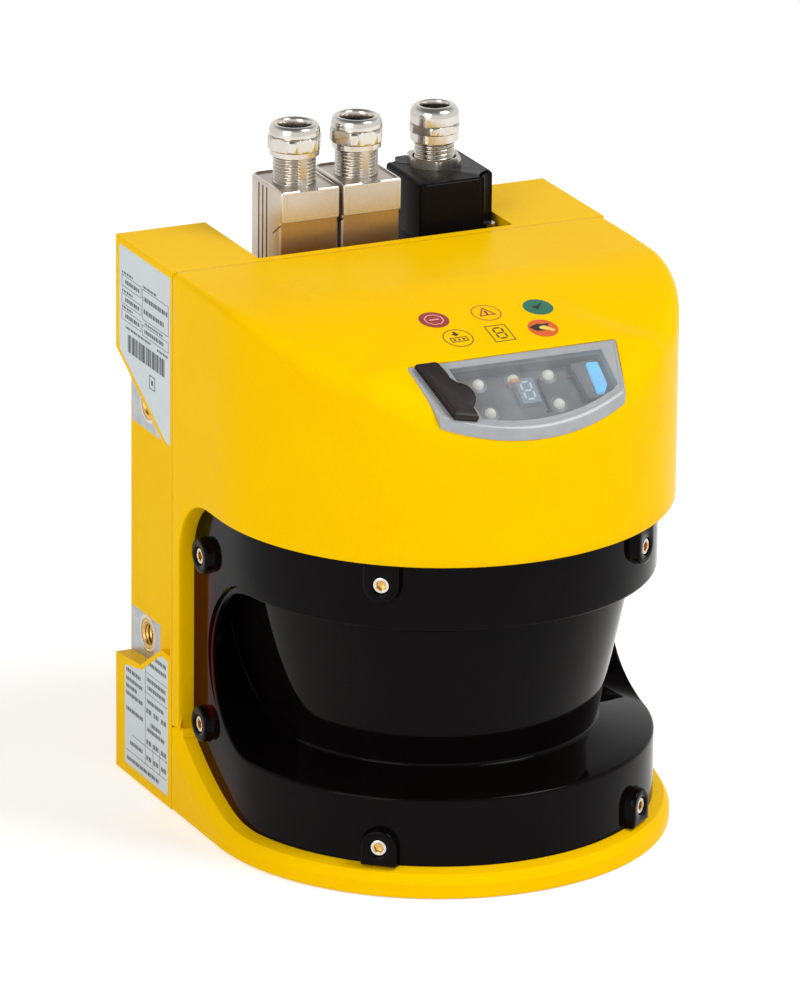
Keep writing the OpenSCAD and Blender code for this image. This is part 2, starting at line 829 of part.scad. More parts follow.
module half_ring_board(r_out, r_in, z) {
    translate([0, arc_y, z]) difference() {
        cylinder(r = r_out, h = board_t);
        translate([0, 0, -1]) cylinder(r = r_in, h = board_t + 2);
        translate([-body_w, 0, -1]) cube([2 * body_w, body_w, board_t + 2]);
    }
}

module dust_board_low() color(board_green)
    half_ring_board(flange_in_r - 2 * seat_gap, flange_in_r - dust_board_w, dust_board_low_z);

module dust_board_high() color(board_green)
    half_ring_board(flange_in_r - 2 * seat_gap, flange_in_r - dust_board_w, dust_board_high_z);

// ---------- rear casting ----------

// Side view of the stepped-in face between the upper and lower label blocks.
function step_outline() = [
    [back_y + 1, 40], [back_y - 20, 42], [back_y - 37, 53], [rear_y + 1.2, 53],
    [rear_y + 1.2, 123.5], [back_y - 41, 123.5], [back_y + 1, 147]];

module rear_housing() color(yellow) difference() {
    block(-half_w, half_w, rear_y, back_y, 0, body_h);
    // stepped-in side faces
    for (s = [-1, 1]) on_side(s) along_x(side_face_x, half_w + 1) polygon(step_outline());
    // recess for the plugs, open at the top and the back
    block(-recess_half, recess_half, recess_front_y, back_y + 1, recess_floor_z, body_h + 1);
    // space for the boards
    block(-side_face_x + wall, side_face_x - wall, rear_y - 1, column_y, floor_t, recess_floor_z - wall);
    block(-column_x, column_x, column_y - 1, back_y - wall, floor_t, recess_floor_z - wall);
    // hollow ears beside the recess
    for (s = [-1, 1]) on_side(s)
        block(recess_half + wall, half_w - wall, rear_y - 1, back_y - wall,
            recess_floor_z + ear_floor, body_h - wall);
    // plug openings in the recess's floor
    for (x = bus_places) plug_hole(x, bus_axis_y, bus_hole_w, bus_hole_w);
    plug_hole(system_x, system_axis_y, system_hole_w, system_hole_d);
    // seats of the thread inserts
    for (s = [-1, 1], z = mount_heights) {
        side_mount_place(s, z) cylinder(d = insert_d, h = mount_depth + insert_floor);
        rear_mount_place(s, z) cylinder(d = insert_d, h = mount_depth + insert_floor);
    }
    // seats of the labels
    on_side(-1) {
        along_x(half_w - label_t, half_w + 1) polygon(type_label_outline());
        along_x(half_w - label_t, half_w + 1) polygon(data_label_outline());
    }
    for (p = housing_screw_places) translate([p[0], rear_y - 1, p[1]]) rotate([-90, 0, 0]) {
        cylinder(d = housing_screw_d + 0.5, h = rear_d + 2);
        translate([0, 0, rear_d - housing_head_sink]) cylinder(d = housing_head_d + 0.6, h = 10);
    }
}

module plug_hole(x, y, w, d) {
    block(x - w / 2, x + w / 2, y - d / 2, y + d / 2, recess_floor_z - wall - 1, recess_floor_z + 1);
}

// Thread places: Z runs into the housing from its face.
module side_mount_place(side, z) {
    translate([side * side_face_x, back_y - mount_back, z]) rotate([0, -side * 90, 0])
        children();
}

module rear_mount_place(side, z) {
    translate([side * rear_mount_x, back_y, z]) rotate([90, 0, 0]) children();
}

module thread_insert() {
    ring(insert_d / 2, mount_bore / 2, 0, mount_depth);
    translate([0, 0, mount_depth - eps]) cylinder(d = insert_d, h = insert_floor + eps);
}

module thread_inserts() color(brass) for (s = [-1, 1], z = mount_heights) {
    side_mount_place(s, z) thread_insert();
    rear_mount_place(s, z) thread_insert();
}

module housing_screws() color(steel) for (p = housing_screw_places)
    translate([p[0], seam_y - housing_screw_grip + 0.5, p[1]]) rotate([-90, 0, 0]) {
        head = housing_screw_grip + seam_t + rear_d - housing_head_sink - 0.5;
        difference() {
            union() {
                cylinder(d = housing_screw_d - 0.2, h = head);
                translate([0, 0, head]) cylinder(d = housing_head_d, h = housing_head_h);
            }
            translate([0, 0, head + housing_head_h / 2]) cylinder(d = housing_key / cos(30), h = 6, $fn = 6);
        }
    }

// Seal that follows the seam between the two castings.
module housing_seal() color([0.06, 0.06, 0.06]) difference() {
    translate([0, seam_y, 0]) block(-half_w + seam_inset, half_w - seam_inset, 0, seam_t,
        seam_inset, body_h - seam_inset);
    block(-flange_in_r, flange_in_r, seam_y - 1, rear_y + 1, floor_t, body_h - wall);
    for (p = housing_screw_places) translate([p[0], seam_y - 1, p[1]]) rotate([-90, 0, 0])
        cylinder(d = housing_screw_d + 0.5, h = seam_t + 2);
}

function type_label_outline() = [
    [rear_y + 1.5, body_h - 2.5], [back_y - 2.5, body_h - 2.5], [back_y - 2.5, 148], [back_y - 4, 146],
    [back_y - 41, 125.5], [rear_y + 1.5, 125.5]];

function data_label_outline() = [
    [rear_y + 3, 50.5], [back_y - 37, 51], [back_y - 21, 40.5], [back_y - 7, 38],
    [back_y - 7, 3.5], [rear_y + 3, 3.5]];

module type_label() color([0.80, 0.84, 0.85]) on_side(-1)
    along_x(half_w - label_t, half_w) polygon(type_label_outline());

module data_label() color([0.80, 0.84, 0.85]) on_side(-1)
    along_x(half_w - label_t, half_w) polygon(data_label_outline());

module main_board() color(board_green) difference() {
    block(-board_edge, board_edge, rear_y + board_gap, rear_y + board_gap + board_t,
        floor_t, recess_floor_z - wall);
    for (p = housing_screw_places) translate([p[0], rear_y, p[1]]) rotate([-90, 0, 0])
        cylinder(d = housing_screw_d + 6, h = 20);
}

module power_board() color(board_green)
    block(-column_x + 2, column_x - 2, column_y + board_gap, column_y + board_gap + board_t,
        floor_t, recess_floor_z - wall);

module main_board_parts() color([0.12, 0.12, 0.13]) {
    chip_y = rear_y + board_gap + board_t;
    for (x = [-30, 8], z = [30, 84]) block(x, x + chip_w, chip_y, chip_y + chip_h, z, z + chip_w);
    for (x = [-22 : 14 : 20]) translate([x, column_y + board_gap, 112]) rotate([90, 0, 0])
        cylinder(r = can_r, h = can_h);
}

// ---------- plugs ----------

module bus_sockets() color([0.16, 0.16, 0.17]) for (x = bus_places) translate([x, bus_axis_y, 0])
    difference() {
        union() {
            translate([0, 0, recess_floor_z - wall]) linear_extrude(height = wall + eps)
                square(bus_socket_w, center = true);
            translate([0, 0, recess_floor_z]) linear_extrude(height = socket_shoulder_h)
                rounded_rect(bus_w - 1, bus_d - 2, 2);
            translate([0, 0, recess_floor_z]) linear_extrude(height = bus_socket_h)
                square([bus_socket_w - 0.2, bus_socket_w + 1.8], center = true);
        }
        translate([0, 0, recess_floor_z + 4]) linear_extrude(height = 20) square(bus_slot, center = true);
    }

// Die-cast plug hood: a wide head, a slimmer lower front, and grooved flanks.
module bus_plug() difference() {
    translate([0, 0, bus_low_z]) linear_extrude(height = bus_top_z - bus_low_z)
        rounded_rect(bus_w, bus_d, 1.2);
    // slimmer lower front
    block(-bus_w, bus_w, -bus_d / 2 - 1, -bus_d / 2 + bus_step, bus_low_z - 1, bus_top_z - bus_head_h);
    // shallow pocket in the top
    translate([0, 0, bus_top_z - bus_thread_sink]) linear_extrude(height = 2)
        rounded_rect(bus_w - 2 * bus_rim, bus_d - 2 * bus_rim, 0.6);
    // finger grooves
    for (s = [-1, 1], y = [-1.5, 1.6, 4.7]) translate([s * bus_w / 2, y, 0])
        block(-bus_groove_w / 2, bus_groove_w / 2, -bus_groove_d / 2, bus_groove_d / 2,
            bus_low_z + 6, bus_top_z + 1);
    // room for the socket, and the bore up to the gland
    translate([0, 0, bus_low_z - 1]) linear_extrude(height = 11)
        square([bus_socket_w + 0.1, bus_socket_w + 2.1], center = true);
    translate([0, 0, bus_low_z]) cylinder(r = bus_bore_r, h = bus_top_z);
}

module bus_plug_left() color(nickel) translate([bus_places[0], bus_axis_y, 0]) bus_plug();

module bus_plug_right() color(nickel) translate([bus_places[1], bus_axis_y, 0]) bus_plug();

// Threaded gland body with grooves turned at the thread's pitch.
module gland_body(z0, thread_h, thread_r) {
    turns = floor((thread_h - 1) / thread_pitch);
    translate([0, 0, z0]) difference() {
        cylinder(r = thread_r, h = thread_h);
        translate([0, 0, -1]) cylinder(r = cable_r + gland_wall, h = thread_h + 2);
        for (i = [1 : turns]) translate([0, 0, i * thread_pitch]) rotate_extrude()
            polygon([[thread_r - thread_cut, 0], [thread_r + 1, -0.6], [thread_r + 1, 0.6]]);
    }
}

// Dome nut: a round skirt, a hexagon between, and a rounded crown.
module dome_nut(z0, nut_h, across, thread_r) {
    crown_r = across / 2;
    crown_h = nut_h * 0.32;
    difference() {
        union() {
            translate([0, 0, z0]) cylinder(r = crown_r, h = nut_h - crown_h);
            intersection() {
                translate([0, 0, z0 + nut_h * 0.22])
                    cylinder(d = across / cos(30), h = nut_h * 0.42, $fn = 6);
                translate([0, 0, z0]) cylinder(r = crown_r * 1.1, h = nut_h);
            }
            translate([0, 0, z0 + nut_h - crown_h]) rotate_extrude() intersection() {
                union() {
                    square([crown_r - crown_h, crown_h]);
                    translate([crown_r - crown_h, 0]) circle(crown_h);
                }
                square([crown_r, crown_h]);
            }
        }
        translate([0, 0, z0 - 1]) cylinder(r = thread_r + nut_play, h = nut_h - crown_h + 0.4);
        translate([0, 0, z0]) cylinder(r = cable_r, h = nut_h + 1);
    }
}

// Rubber sleeve that closes on the cable.
module gland_seal(z0, h) {
    ring(cable_r + seal_play, seal_bore_r, z0, z0 + h);
}

module bus_glands() color(nickel) for (x = bus_places) translate([x, bus_axis_y, 0])
    gland_body(bus_top_z - bus_thread_sink, bus_nut_z - bus_top_z + bus_thread_sink + nut_lap, bus_thread_r);

module bus_dome_nuts() color(nickel) for (x = bus_places) translate([x, bus_axis_y, 0])
    dome_nut(bus_nut_z, bus_nut_h, bus_nut_across, bus_thread_r);

module bus_seals() color([0.09, 0.09, 0.09]) for (x = bus_places) translate([x, bus_axis_y, 0])
    gland_seal(bus_top_z + 1, bus_nut_z - bus_top_z + nut_lap - 1);

module system_socket() color([0.16, 0.16, 0.17]) {
    block(system_x - system_hole_w / 2 + 0.2, system_x + system_hole_w / 2 - 0.2,
        system_axis_y - system_hole_d / 2 + 0.2, system_axis_y + system_hole_d / 2 - 0.2,
        recess_floor_z - wall, recess_floor_z + eps);
    translate([system_x, system_axis_y, recess_floor_z]) {
        linear_extrude(height = socket_shoulder_h - 2) rounded_rect(system_w - 1, system_d - 2, 2);
        linear_extrude(height = 2 * socket_shoulder_h - 2)
            square([system_hole_w - 4, system_hole_d - 8], center = true);
    }
}

// Where the plug's two screws stand, at opposite corners.
module plug_screw_places(from_edge) for (s = [-1, 1])
    translate([system_x + s * (system_w / 2 - from_edge), system_axis_y - s * (system_d / 2 - from_edge), 0])
        children();

module system_plug() color(dark) difference() {
    translate([system_x, system_axis_y, system_low_z]) linear_extrude(height = system_top_z - system_low_z)
        rounded_rect(system_w, system_d, 2.5);
    // round notches at two corners, over the plug's screws
    plug_screw_places(notch_in) translate([0, 0, plug_screw_seat_z]) cylinder(r = notch_r, h = system_top_z);
    plug_screw_places(plug_screw_in) translate([0, 0, system_low_z - 1])
        cylinder(d = plug_screw_d + 0.2, h = system_top_z);
    // room inside, and the gland's bore
    translate([system_x, system_axis_y, system_low_z - 1])
        linear_extrude(height = system_top_z - system_low_z - system_roof + 1)
            rounded_rect(system_w - 2 * system_shell, system_d - 2 * system_shell, 2);
    translate([system_x, system_gland_y, system_top_z - 20])
        cylinder(r = system_thread_r + 2 * nut_play, h = 30);
}

module system_plug_screws() color(steel) plug_screw_places(plug_screw_in) difference() {
    union() {
        translate([0, 0, system_low_z + 0.2])
            cylinder(d = plug_screw_d, h = plug_screw_seat_z - system_low_z);
        translate([0, 0, plug_screw_seat_z]) cylinder(d = plug_screw_head_d, h = plug_screw_head_h);
    }
    translate([0, 0, plug_screw_seat_z + plug_screw_head_h / 2])
        cylinder(d = plug_screw_key / cos(30), h = 3, $fn = 6);
}

module system_gland() color(nickel) translate([system_x, system_gland_y, 0])
    gland_body(system_top_z - system_thread_sink,
        system_nut_z - system_top_z + system_thread_sink + nut_lap + 1, system_thread_r);

module system_lock_nut() color(nickel) translate([system_x, system_gland_y, system_top_z]) difference() {
    intersection() {
        cylinder(d = system_nut_across / cos(30), h = lock_nut_h, $fn = 6);
        cylinder(r = lock_nut_r, h = lock_nut_h);
    }
    translate([0, 0, -1]) cylinder(r = system_thread_r + nut_play, h = 10);
}

module system_dome_nut() color(nickel) translate([system_x, system_gland_y, 0])
    dome_nut(system_nut_z, system_nut_h, system_nut_across, system_thread_r);

module system_seal() color([0.09, 0.09, 0.09]) translate([system_x, system_gland_y, 0])
    gland_seal(system_top_z - system_roof, system_nut_z - system_top_z + system_roof + nut_lap);

front_housing();
rear_housing();
housing_seal();
housing_screws();
optics_cover_low();
optics_window();
optics_cover_high();
optics_cover_seal();
cover_screws();
display_pane();
display_board();
status_lamps();
digit_display();
display_insert();
service_socket();
service_cap();
optics_chassis();
motor_case();
motor_stator();
motor_rotor();
motor_shaft();
shaft_bearings();
encoder_disc();
encoder_sensor();
mirror_head();
mirror_glass();
optics_tube();
receiver_lens();
laser_collimator();
laser_module();
receiver_board();
dust_board_low();
dust_board_high();
main_board();
power_board();
main_board_parts();
system_socket();
system_plug();
system_plug_screws();
system_gland();
system_lock_nut();
system_dome_nut();
system_seal();
bus_sockets();
bus_plug_left();
bus_plug_right();
bus_glands();
bus_dome_nuts();
bus_seals();
thread_inserts();
type_label();
data_label();
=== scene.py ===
"""Looks of a safety laser scanner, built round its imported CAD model."""

import math

import bmesh
import bpy
from mathutils import Matrix, Vector


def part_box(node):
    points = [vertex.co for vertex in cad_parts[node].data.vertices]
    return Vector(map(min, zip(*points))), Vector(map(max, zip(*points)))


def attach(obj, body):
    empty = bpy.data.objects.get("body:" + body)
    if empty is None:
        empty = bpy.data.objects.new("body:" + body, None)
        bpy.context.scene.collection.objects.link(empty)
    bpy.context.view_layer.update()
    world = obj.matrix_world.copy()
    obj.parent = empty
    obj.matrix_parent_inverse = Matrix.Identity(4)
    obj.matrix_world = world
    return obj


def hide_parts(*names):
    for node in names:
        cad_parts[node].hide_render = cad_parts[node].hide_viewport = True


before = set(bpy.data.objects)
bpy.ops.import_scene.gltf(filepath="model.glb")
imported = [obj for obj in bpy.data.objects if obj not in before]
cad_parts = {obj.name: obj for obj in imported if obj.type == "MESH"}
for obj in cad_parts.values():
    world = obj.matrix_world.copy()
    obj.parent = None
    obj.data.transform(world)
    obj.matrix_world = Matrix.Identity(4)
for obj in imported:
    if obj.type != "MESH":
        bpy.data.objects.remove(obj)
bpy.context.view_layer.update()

bl_info = {
    "name": "Safety Laser Scanner",
    "version": (1, 0, 0),
    "blender": (4, 5, 0),
    "location": "View3D > Sidebar > Scanner",
    "description": "Builds the visible pieces and finishes of a safety laser scanner",
    "category": "Object",
}

MM = 0.001


def span(node):
    """Low and high corners of a CAD node in millimetres."""
    low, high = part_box(node)
    return Vector(low) / MM, Vector(high) / MM


FRONT_LOW, FRONT_HIGH = span("front_housing")
WINDOW_HIGH = span("optics_window")[1]

HALF_W = FRONT_HIGH.x
FRONT_Y = FRONT_LOW.y
SEAM_Y = FRONT_HIGH.y
TOP_Z = FRONT_HIGH.z
ARC_Y = FRONT_Y + HALF_W
COVER_IN = HALF_W - WINDOW_HIGH.x
QUARTER = HALF_W * math.pi / 2

HOOD_EDGE_Z = span("optics_cover_high")[1].z + 0.1
BASE_Z = span("optics_cover_low")[0].z - 0.1
STRIP_Y = WINDOW_HIGH.y + 0.3
ARCH_R = 22.0
GUSSET_R = 81.0
GUSSET_RISE = 18.0
GUSSET_Y = STRIP_Y - math.sqrt(GUSSET_R ** 2 - (GUSSET_R - GUSSET_RISE) ** 2)

# display face: slope, and the middle of its upper edge
FACE_TURN = math.radians(37)
FACE_AT = Vector((0, -55.6, 175.6))
PANE_TOP = 36.8
PANE_LEAN = 0.2008


# ---------- settings ----------

class ScannerSizes(bpy.types.PropertyGroup):
    shoulder: bpy.props.FloatProperty(
        name="Shoulder Radius", description="Rounding of the hood's edge beside the seam",
        default=0.0020, min=0.0005, max=0.004, unit="LENGTH")
    brow: bpy.props.FloatProperty(
        name="Brow Radius", description="Rounding of the hood's edge at the front",
        default=0.0065, min=0.001, max=0.012, unit="LENGTH")
    rim: bpy.props.FloatProperty(
        name="Rim Radius", description="Rounding of the edge of the cover's opening",
        default=0.0006, min=0.0002, max=0.0015, unit="LENGTH")
    shell: bpy.props.FloatProperty(
        name="Shell", description="Thickness of the front casting's visible skin",
        default=0.0025, min=0.001, max=0.004, unit="LENGTH")
    fillet: bpy.props.FloatProperty(
        name="Recess Fillet", description="Rounding between the window and the recess's floor",
        default=0.0014, min=0.001, max=0.006, unit="LENGTH")
    cover_edge: bpy.props.FloatProperty(
        name="Cover Edge", description="Rounding of the recess's outer edge",
        default=0.0012, min=0.0003, max=0.002, unit="LENGTH")
    edge: bpy.props.FloatProperty(
        name="Casting Edge", description="Rounding of the rear casting's edges",
        default=0.0008, min=0.0002, max=0.002, unit="LENGTH")
    plug_edge: bpy.props.FloatProperty(
        name="Plug Edge", description="Rounding of the plugs' edges",
        default=0.0009, min=0.0002, max=0.002, unit="LENGTH")
    print_lift: bpy.props.FloatProperty(
        name="Print Lift", description="How far the printed signs lie above the paint",
        default=0.00006, min=0.00002, max=0.0002, unit="LENGTH")


def colour(name, text, value):
    return bpy.props.FloatVectorProperty(
        name=name, description=text, default=value, size=3, min=0, max=1, subtype="COLOR")


class ScannerColours(bpy.types.PropertyGroup):
    paint: colour("Paint", "Yellow powder paint of both castings", (0.96, 0.58, 0.0005))
    paint_deep: colour("Deep Paint", "Paint where it lies thicker", (0.93, 0.53, 0.0003))
    cover: colour("Cover", "Dark plastic of the optics cover", (0.0032, 0.0022, 0.0022))
    # painted glow: red that stands in for light coming through the cover's edge
    cover_painted_glow: colour("Cover Red", "Cover where light comes through its edge", (0.045, 0.0012, 0.0008))
    plug: colour("Plug Metal", "Blasted metal of the slim plugs", (0.66, 0.60, 0.53))
    black_plug: colour("Plug Plastic", "Satin plastic of the wide plug", (0.0065, 0.0048, 0.0046))
    nickel: colour("Nickel", "Plating of the glands and screws", (0.64, 0.605, 0.55))
    brass: colour("Brass", "Brass of the thread inserts and screw sockets", (0.72, 0.45, 0.14))
    label: colour("Label", "Pale film of the side labels", (0.60, 0.66, 0.68))
    ink: colour("Ink", "Dark print of the labels", (0.030, 0.033, 0.038))


# ---------- finishes ----------

def group(name, inputs, outputs):
    """New shader node group with its sockets; gives the tree and its two end nodes."""
    tree = bpy.data.node_groups.new(name, "ShaderNodeTree")
    for label, kind, value in inputs:
        socket = tree.interface.new_socket(name=label, in_out="INPUT", socket_type=kind)
        socket.default_value = value
    for label, kind in outputs:
        tree.interface.new_socket(name=label, in_out="OUTPUT", socket_type=kind)
    return tree, tree.nodes.new("NodeGroupInput"), tree.nodes.new("NodeGroupOutput")


def noise(tree, place, scale, detail=3.0, rough=0.5):
    node = tree.nodes.new("ShaderNodeTexNoise")
    node.inputs["Detail"].default_value = detail
    node.inputs["Roughness"].default_value = rough
    tree.links.new(place, node.inputs["Vector"])
    if isinstance(scale, (int, float)):
        node.inputs["Scale"].default_value = scale
    else:
        tree.links.new(scale, node.inputs["Scale"])
    return node.outputs["Fac"]


def sums(tree, kind, first, second):
    node = tree.nodes.new("ShaderNodeMath")
    node.operation = kind
    for value, socket in zip((first, second), node.inputs):
        if isinstance(value, (int, float)):
            socket.default_value = value
        else:
            tree.links.new(value, socket)
    return node.outputs[0]


def band(tree, value, low, high, to_low=0.0, to_high=1.0):
    node = tree.nodes.new("ShaderNodeMapRange")
    tree.links.new(value, node.inputs["Value"])
    ends = (low, high, to_low, to_high)
    for number, label in zip(ends, ("From Min", "From Max", "To Min", "To Max")):
        if isinstance(number, (int, float)):
            node.inputs[label].default_value = number
        else:
            tree.links.new(number, node.inputs[label])
    return node.outputs["Result"]


def blend_colours(tree, factor, first, second):
    node = tree.nodes.new("ShaderNodeMix")
    node.data_type = "RGBA"
    tree.links.new(factor, node.inputs["Factor"])
    tree.links.new(first, node.inputs["A"])
    tree.links.new(second, node.inputs["B"])
    return node.outputs["Result"]


def object_place(tree):
    return tree.nodes.new("ShaderNodeTexCoord").outputs["Object"]


def grain_group():
    """Fine skin of a paint, plastic or blasted metal: tone, gloss and height that vary."""
    tree, start, end = group("Fine Grain", [
        ("Color", "NodeSocketColor", (0.5, 0.5, 0.5, 1)), ("Deep Color", "NodeSocketColor",
                                                           (0.4, 0.4, 0.4, 1)),
        ("Grain Scale", "NodeSocketFloat", 900.0), ("Cloud Scale", "NodeSocketFloat", 30.0),
        ("Gloss Low", "NodeSocketFloat", 0.3), ("Gloss High", "NodeSocketFloat", 0.4)],
        [("Color", "NodeSocketColor"), ("Roughness", "NodeSocketFloat"), ("Height", "NodeSocketFloat")])
    place = object_place(tree)
    fine = noise(tree, place, start.outputs["Grain Scale"], 2.0, 0.55)
    cloud = noise(tree, place, start.outputs["Cloud Scale"], 3.0, 0.6)
    speck = sums(tree, "MULTIPLY", band(tree, fine, 0.35, 0.65), 0.35)
    wash = sums(tree, "MULTIPLY", band(tree, cloud, 0.3, 0.7), 0.65)
    tone = blend_colours(tree, sums(tree, "ADD", speck, wash), start.outputs["Color"],
                         start.outputs["Deep Color"])
    gloss = band(tree, cloud, 0.3, 0.7, start.outputs["Gloss Low"], start.outputs["Gloss High"])
    tree.links.new(tone, end.inputs["Color"])
    tree.links.new(gloss, end.inputs["Roughness"])
    tree.links.new(fine, end.inputs["Height"])
    return tree


def smudge_group():
    """Handling marks on polished metal or glossy plastic: soft patches of duller surface."""
    tree, start, end = group("Smudges", [
        ("Patch Scale", "NodeSocketFloat", 60.0), ("Clean", "NodeSocketFloat", 0.1), ("Dull",
                                                                                      "NodeSocketFloat", 0.2)],
        [("Roughness", "NodeSocketFloat"), ("Mask", "NodeSocketFloat")])
    place = object_place(tree)
    patch = noise(tree, place, start.outputs["Patch Scale"], 4.0, 0.6)
    mask = band(tree, patch, 0.45, 0.7)
    tree.links.new(mask, end.inputs["Mask"])
    tree.links.new(band(tree, mask, 0.0, 1.0, start.outputs["Clean"], start.outputs["Dull"]),
                   end.inputs["Roughness"])
    return tree


def glow_group():
    """Mask of the parts of the cover near its edges where red is painted in for light that comes through the plastic:
    a painted glow.
    """
    tree, start, end = group("Cover Edge Glow", [("Strength", "NodeSocketFloat", 1.0)],
                             [("Mask", "NodeSocketFloat")])
    split = tree.nodes.new("ShaderNodeSeparateXYZ")
    tree.links.new(object_place(tree), split.inputs[0])
    back, high = split.outputs["Y"], split.outputs["Z"]
    strip = sums(tree, "MULTIPLY", band(tree, back, 0.0105, 0.0150), band(tree, high, 0.0300, 0.0400))
    strip = sums(tree, "MULTIPLY", strip, band(tree, high, 0.0990, 0.0870))
    slope = sums(tree, "SUBTRACT", high, sums(tree, "MULTIPLY", back, 0.45))
    corner = sums(tree, "MULTIPLY", band(tree, slope, 0.0270, 0.0170),
                  band(tree, back, -0.0260, 0.0020, 0.0, 0.7))
    corner = sums(tree, "MULTIPLY", corner, band(tree, high, 0.0360, 0.0300))
    side = sums(tree, "ABSOLUTE", split.outputs["X"], 0.0)
    skin = sums(tree, "MULTIPLY", band(tree, side, 0.0560, 0.0640), band(tree, side, 0.0728, 0.0723))
    strip = sums(tree, "MULTIPLY", strip, band(tree, side, 0.0706, 0.0713))
    both = sums(tree, "MULTIPLY", sums(tree, "MINIMUM", sums(tree, "ADD", strip, corner), 1.0), skin)
    tree.links.new(sums(tree, "MULTIPLY", both, start.outputs["Strength"]), end.inputs["Mask"])
    return tree


GROUP_MAKERS = {"Fine Grain": grain_group, "Smudges": smudge_group, "Cover Edge Glow": glow_group}


def placed(mat, name, values):
    """A shared group placed in a material with its own values."""
    tree = bpy.data.node_groups.get(name) or GROUP_MAKERS[name]()
    node = mat.node_tree.nodes.new("ShaderNodeGroup")
    node.node_tree = tree
    for label, value in values.items():
        if hasattr(value, "is_output"):
            mat.node_tree.links.new(value, node.inputs[label])
        else:
            node.inputs[label].default_value = value
    return node


def shader_of(mat):
    return mat.node_tree.nodes["Principled BSDF"]


def set_values(shader, values):
    for label, value in values.items():
        shader.inputs[label].default_value = value


def bump(mat, height, distance):
    node = mat.node_tree.nodes.new("ShaderNodeBump")
    node.inputs["Distance"].default_value = distance
    mat.node_tree.links.new(height, node.inputs["Height"])
    mat.node_tree.links.new(node.outputs["Normal"], shader_of(mat).inputs["Normal"])


def rgba(values):
    return (values[0], values[1], values[2], 1.0)


def made_before(name):
    return bpy.data.materials.get("skin_" + name)


def grained(name, tone, deep, grain=900.0, cloud=30.0, gloss=(0.3, 0.4), depth=0.00002, **values):
    """Material on the Fine Grain group; values are the shader's own constants."""
    mat = made_before(name)
    if mat:
        return mat
    mat = bpy.data.materials.new("skin_" + name)
    mat.use_nodes = True
    shader, links = shader_of(mat), mat.node_tree.links
    set_values(shader, {key.replace("_", " "): value for key, value in values.items()})
    skin = placed(mat, "Fine Grain", {"Color": rgba(tone), "Deep Color": rgba(deep), "Grain Scale": grain,
                                      "Cloud Scale": cloud, "Gloss Low": gloss[0], "Gloss High": gloss[1]})
    links.new(skin.outputs["Color"], shader.inputs["Base Color"])
    links.new(skin.outputs["Roughness"], shader.inputs["Roughness"])
    if depth:
        bump(mat, skin.outputs["Height"], depth)
    return mat


def colours():
    return bpy.context.scene.scanner_colours


def sizes():
    return bpy.context.scene.scanner_sizes


def yellow_paint():
    c = colours()
    return grained("yellow_paint", c.paint, c.paint_deep, 1100.0, 22.0, (0.22, 0.31), 0.000035,
                   Specular_IOR_Level=0.012, Specular_Tint=(1.0, 0.70, 0.04, 1.0))


def cover_plastic():
    mat = made_before("cover_plastic")
    if mat:
        return mat
    c = colours()
    mat = grained("cover_plastic", c.cover, [v * 0.7 for v in c.cover], 500.0, 40.0, (0.045, 0.085), 0.0,
                  IOR=1.5, Specular_IOR_Level=0.055)
    links = mat.node_tree.links
    shader = shader_of(mat)
    skin = shader.inputs["Base Color"].links[0].from_socket
    # Painted glow: near the cover's edges the base colour turns red, standing in for light that comes through the
    # plastic.
    glow = placed(mat, "Cover Edge Glow", {"Strength": 1.0})
    red = placed(mat, "Fine Grain", {"Color": rgba(c.cover_painted_glow),
                                     "Deep Color": rgba([v * 0.6 for v in c.cover_painted_glow]),
                                     "Cloud Scale": 45.0})
    links.new(blend_colours(mat.node_tree, glow.outputs["Mask"], skin, red.outputs["Color"]),
              shader.inputs["Base Color"])
    return mat


def polished(name, tone, deep, clean=0.1, dull=0.22, **values):
    """Plated or turned metal with smudges; values are the shader's own constants."""
    mat = made_before(name)
    if mat:
        return mat
    mat = grained(name, tone, deep, 700.0, 50.0, (clean, dull), 0.0, Metallic=1.0, **values)
    marks = placed(mat, "Smudges", {"Patch Scale": 70.0, "Clean": clean, "Dull": dull})
    mat.node_tree.links.new(marks.outputs["Roughness"], shader_of(mat).inputs["Roughness"])
    return mat


def nickel():
    tone = colours().nickel
    return polished("nickel", tone, [v * 0.93 for v in tone], 0.17, 0.23)


def brass():
    tone = colours().brass
    return polished("brass", tone, [v * 0.8 for v in tone], 0.22, 0.38)


def plain_metal():
    return grained("bare_casting", (0.50, 0.51, 0.52), (0.40, 0.41, 0.43), 1300.0, 160.0, (0.34, 0.5),
                   0.00002, Metallic=1.0)


def plug_metal():
    tone = colours().plug
    return grained("plug_metal", tone, [v * 0.84 for v in tone], 1500.0, 60.0, (0.36, 0.46), 0.000025,
                   Metallic=1.0)


def black_plastic():
    tone = colours().black_plug
    return grained("plug_plastic", tone, [v * 0.8 for v in tone], 900.0, 50.0, (0.24, 0.32), 0.00002,
                   Specular_IOR_Level=0.05)


def rubber():
    return grained("black_rubber", (0.022, 0.018, 0.017), (0.015, 0.012, 0.012), 1200.0, 60.0, (0.5, 0.62),
                   0.00002)


# ---------- meshes ----------

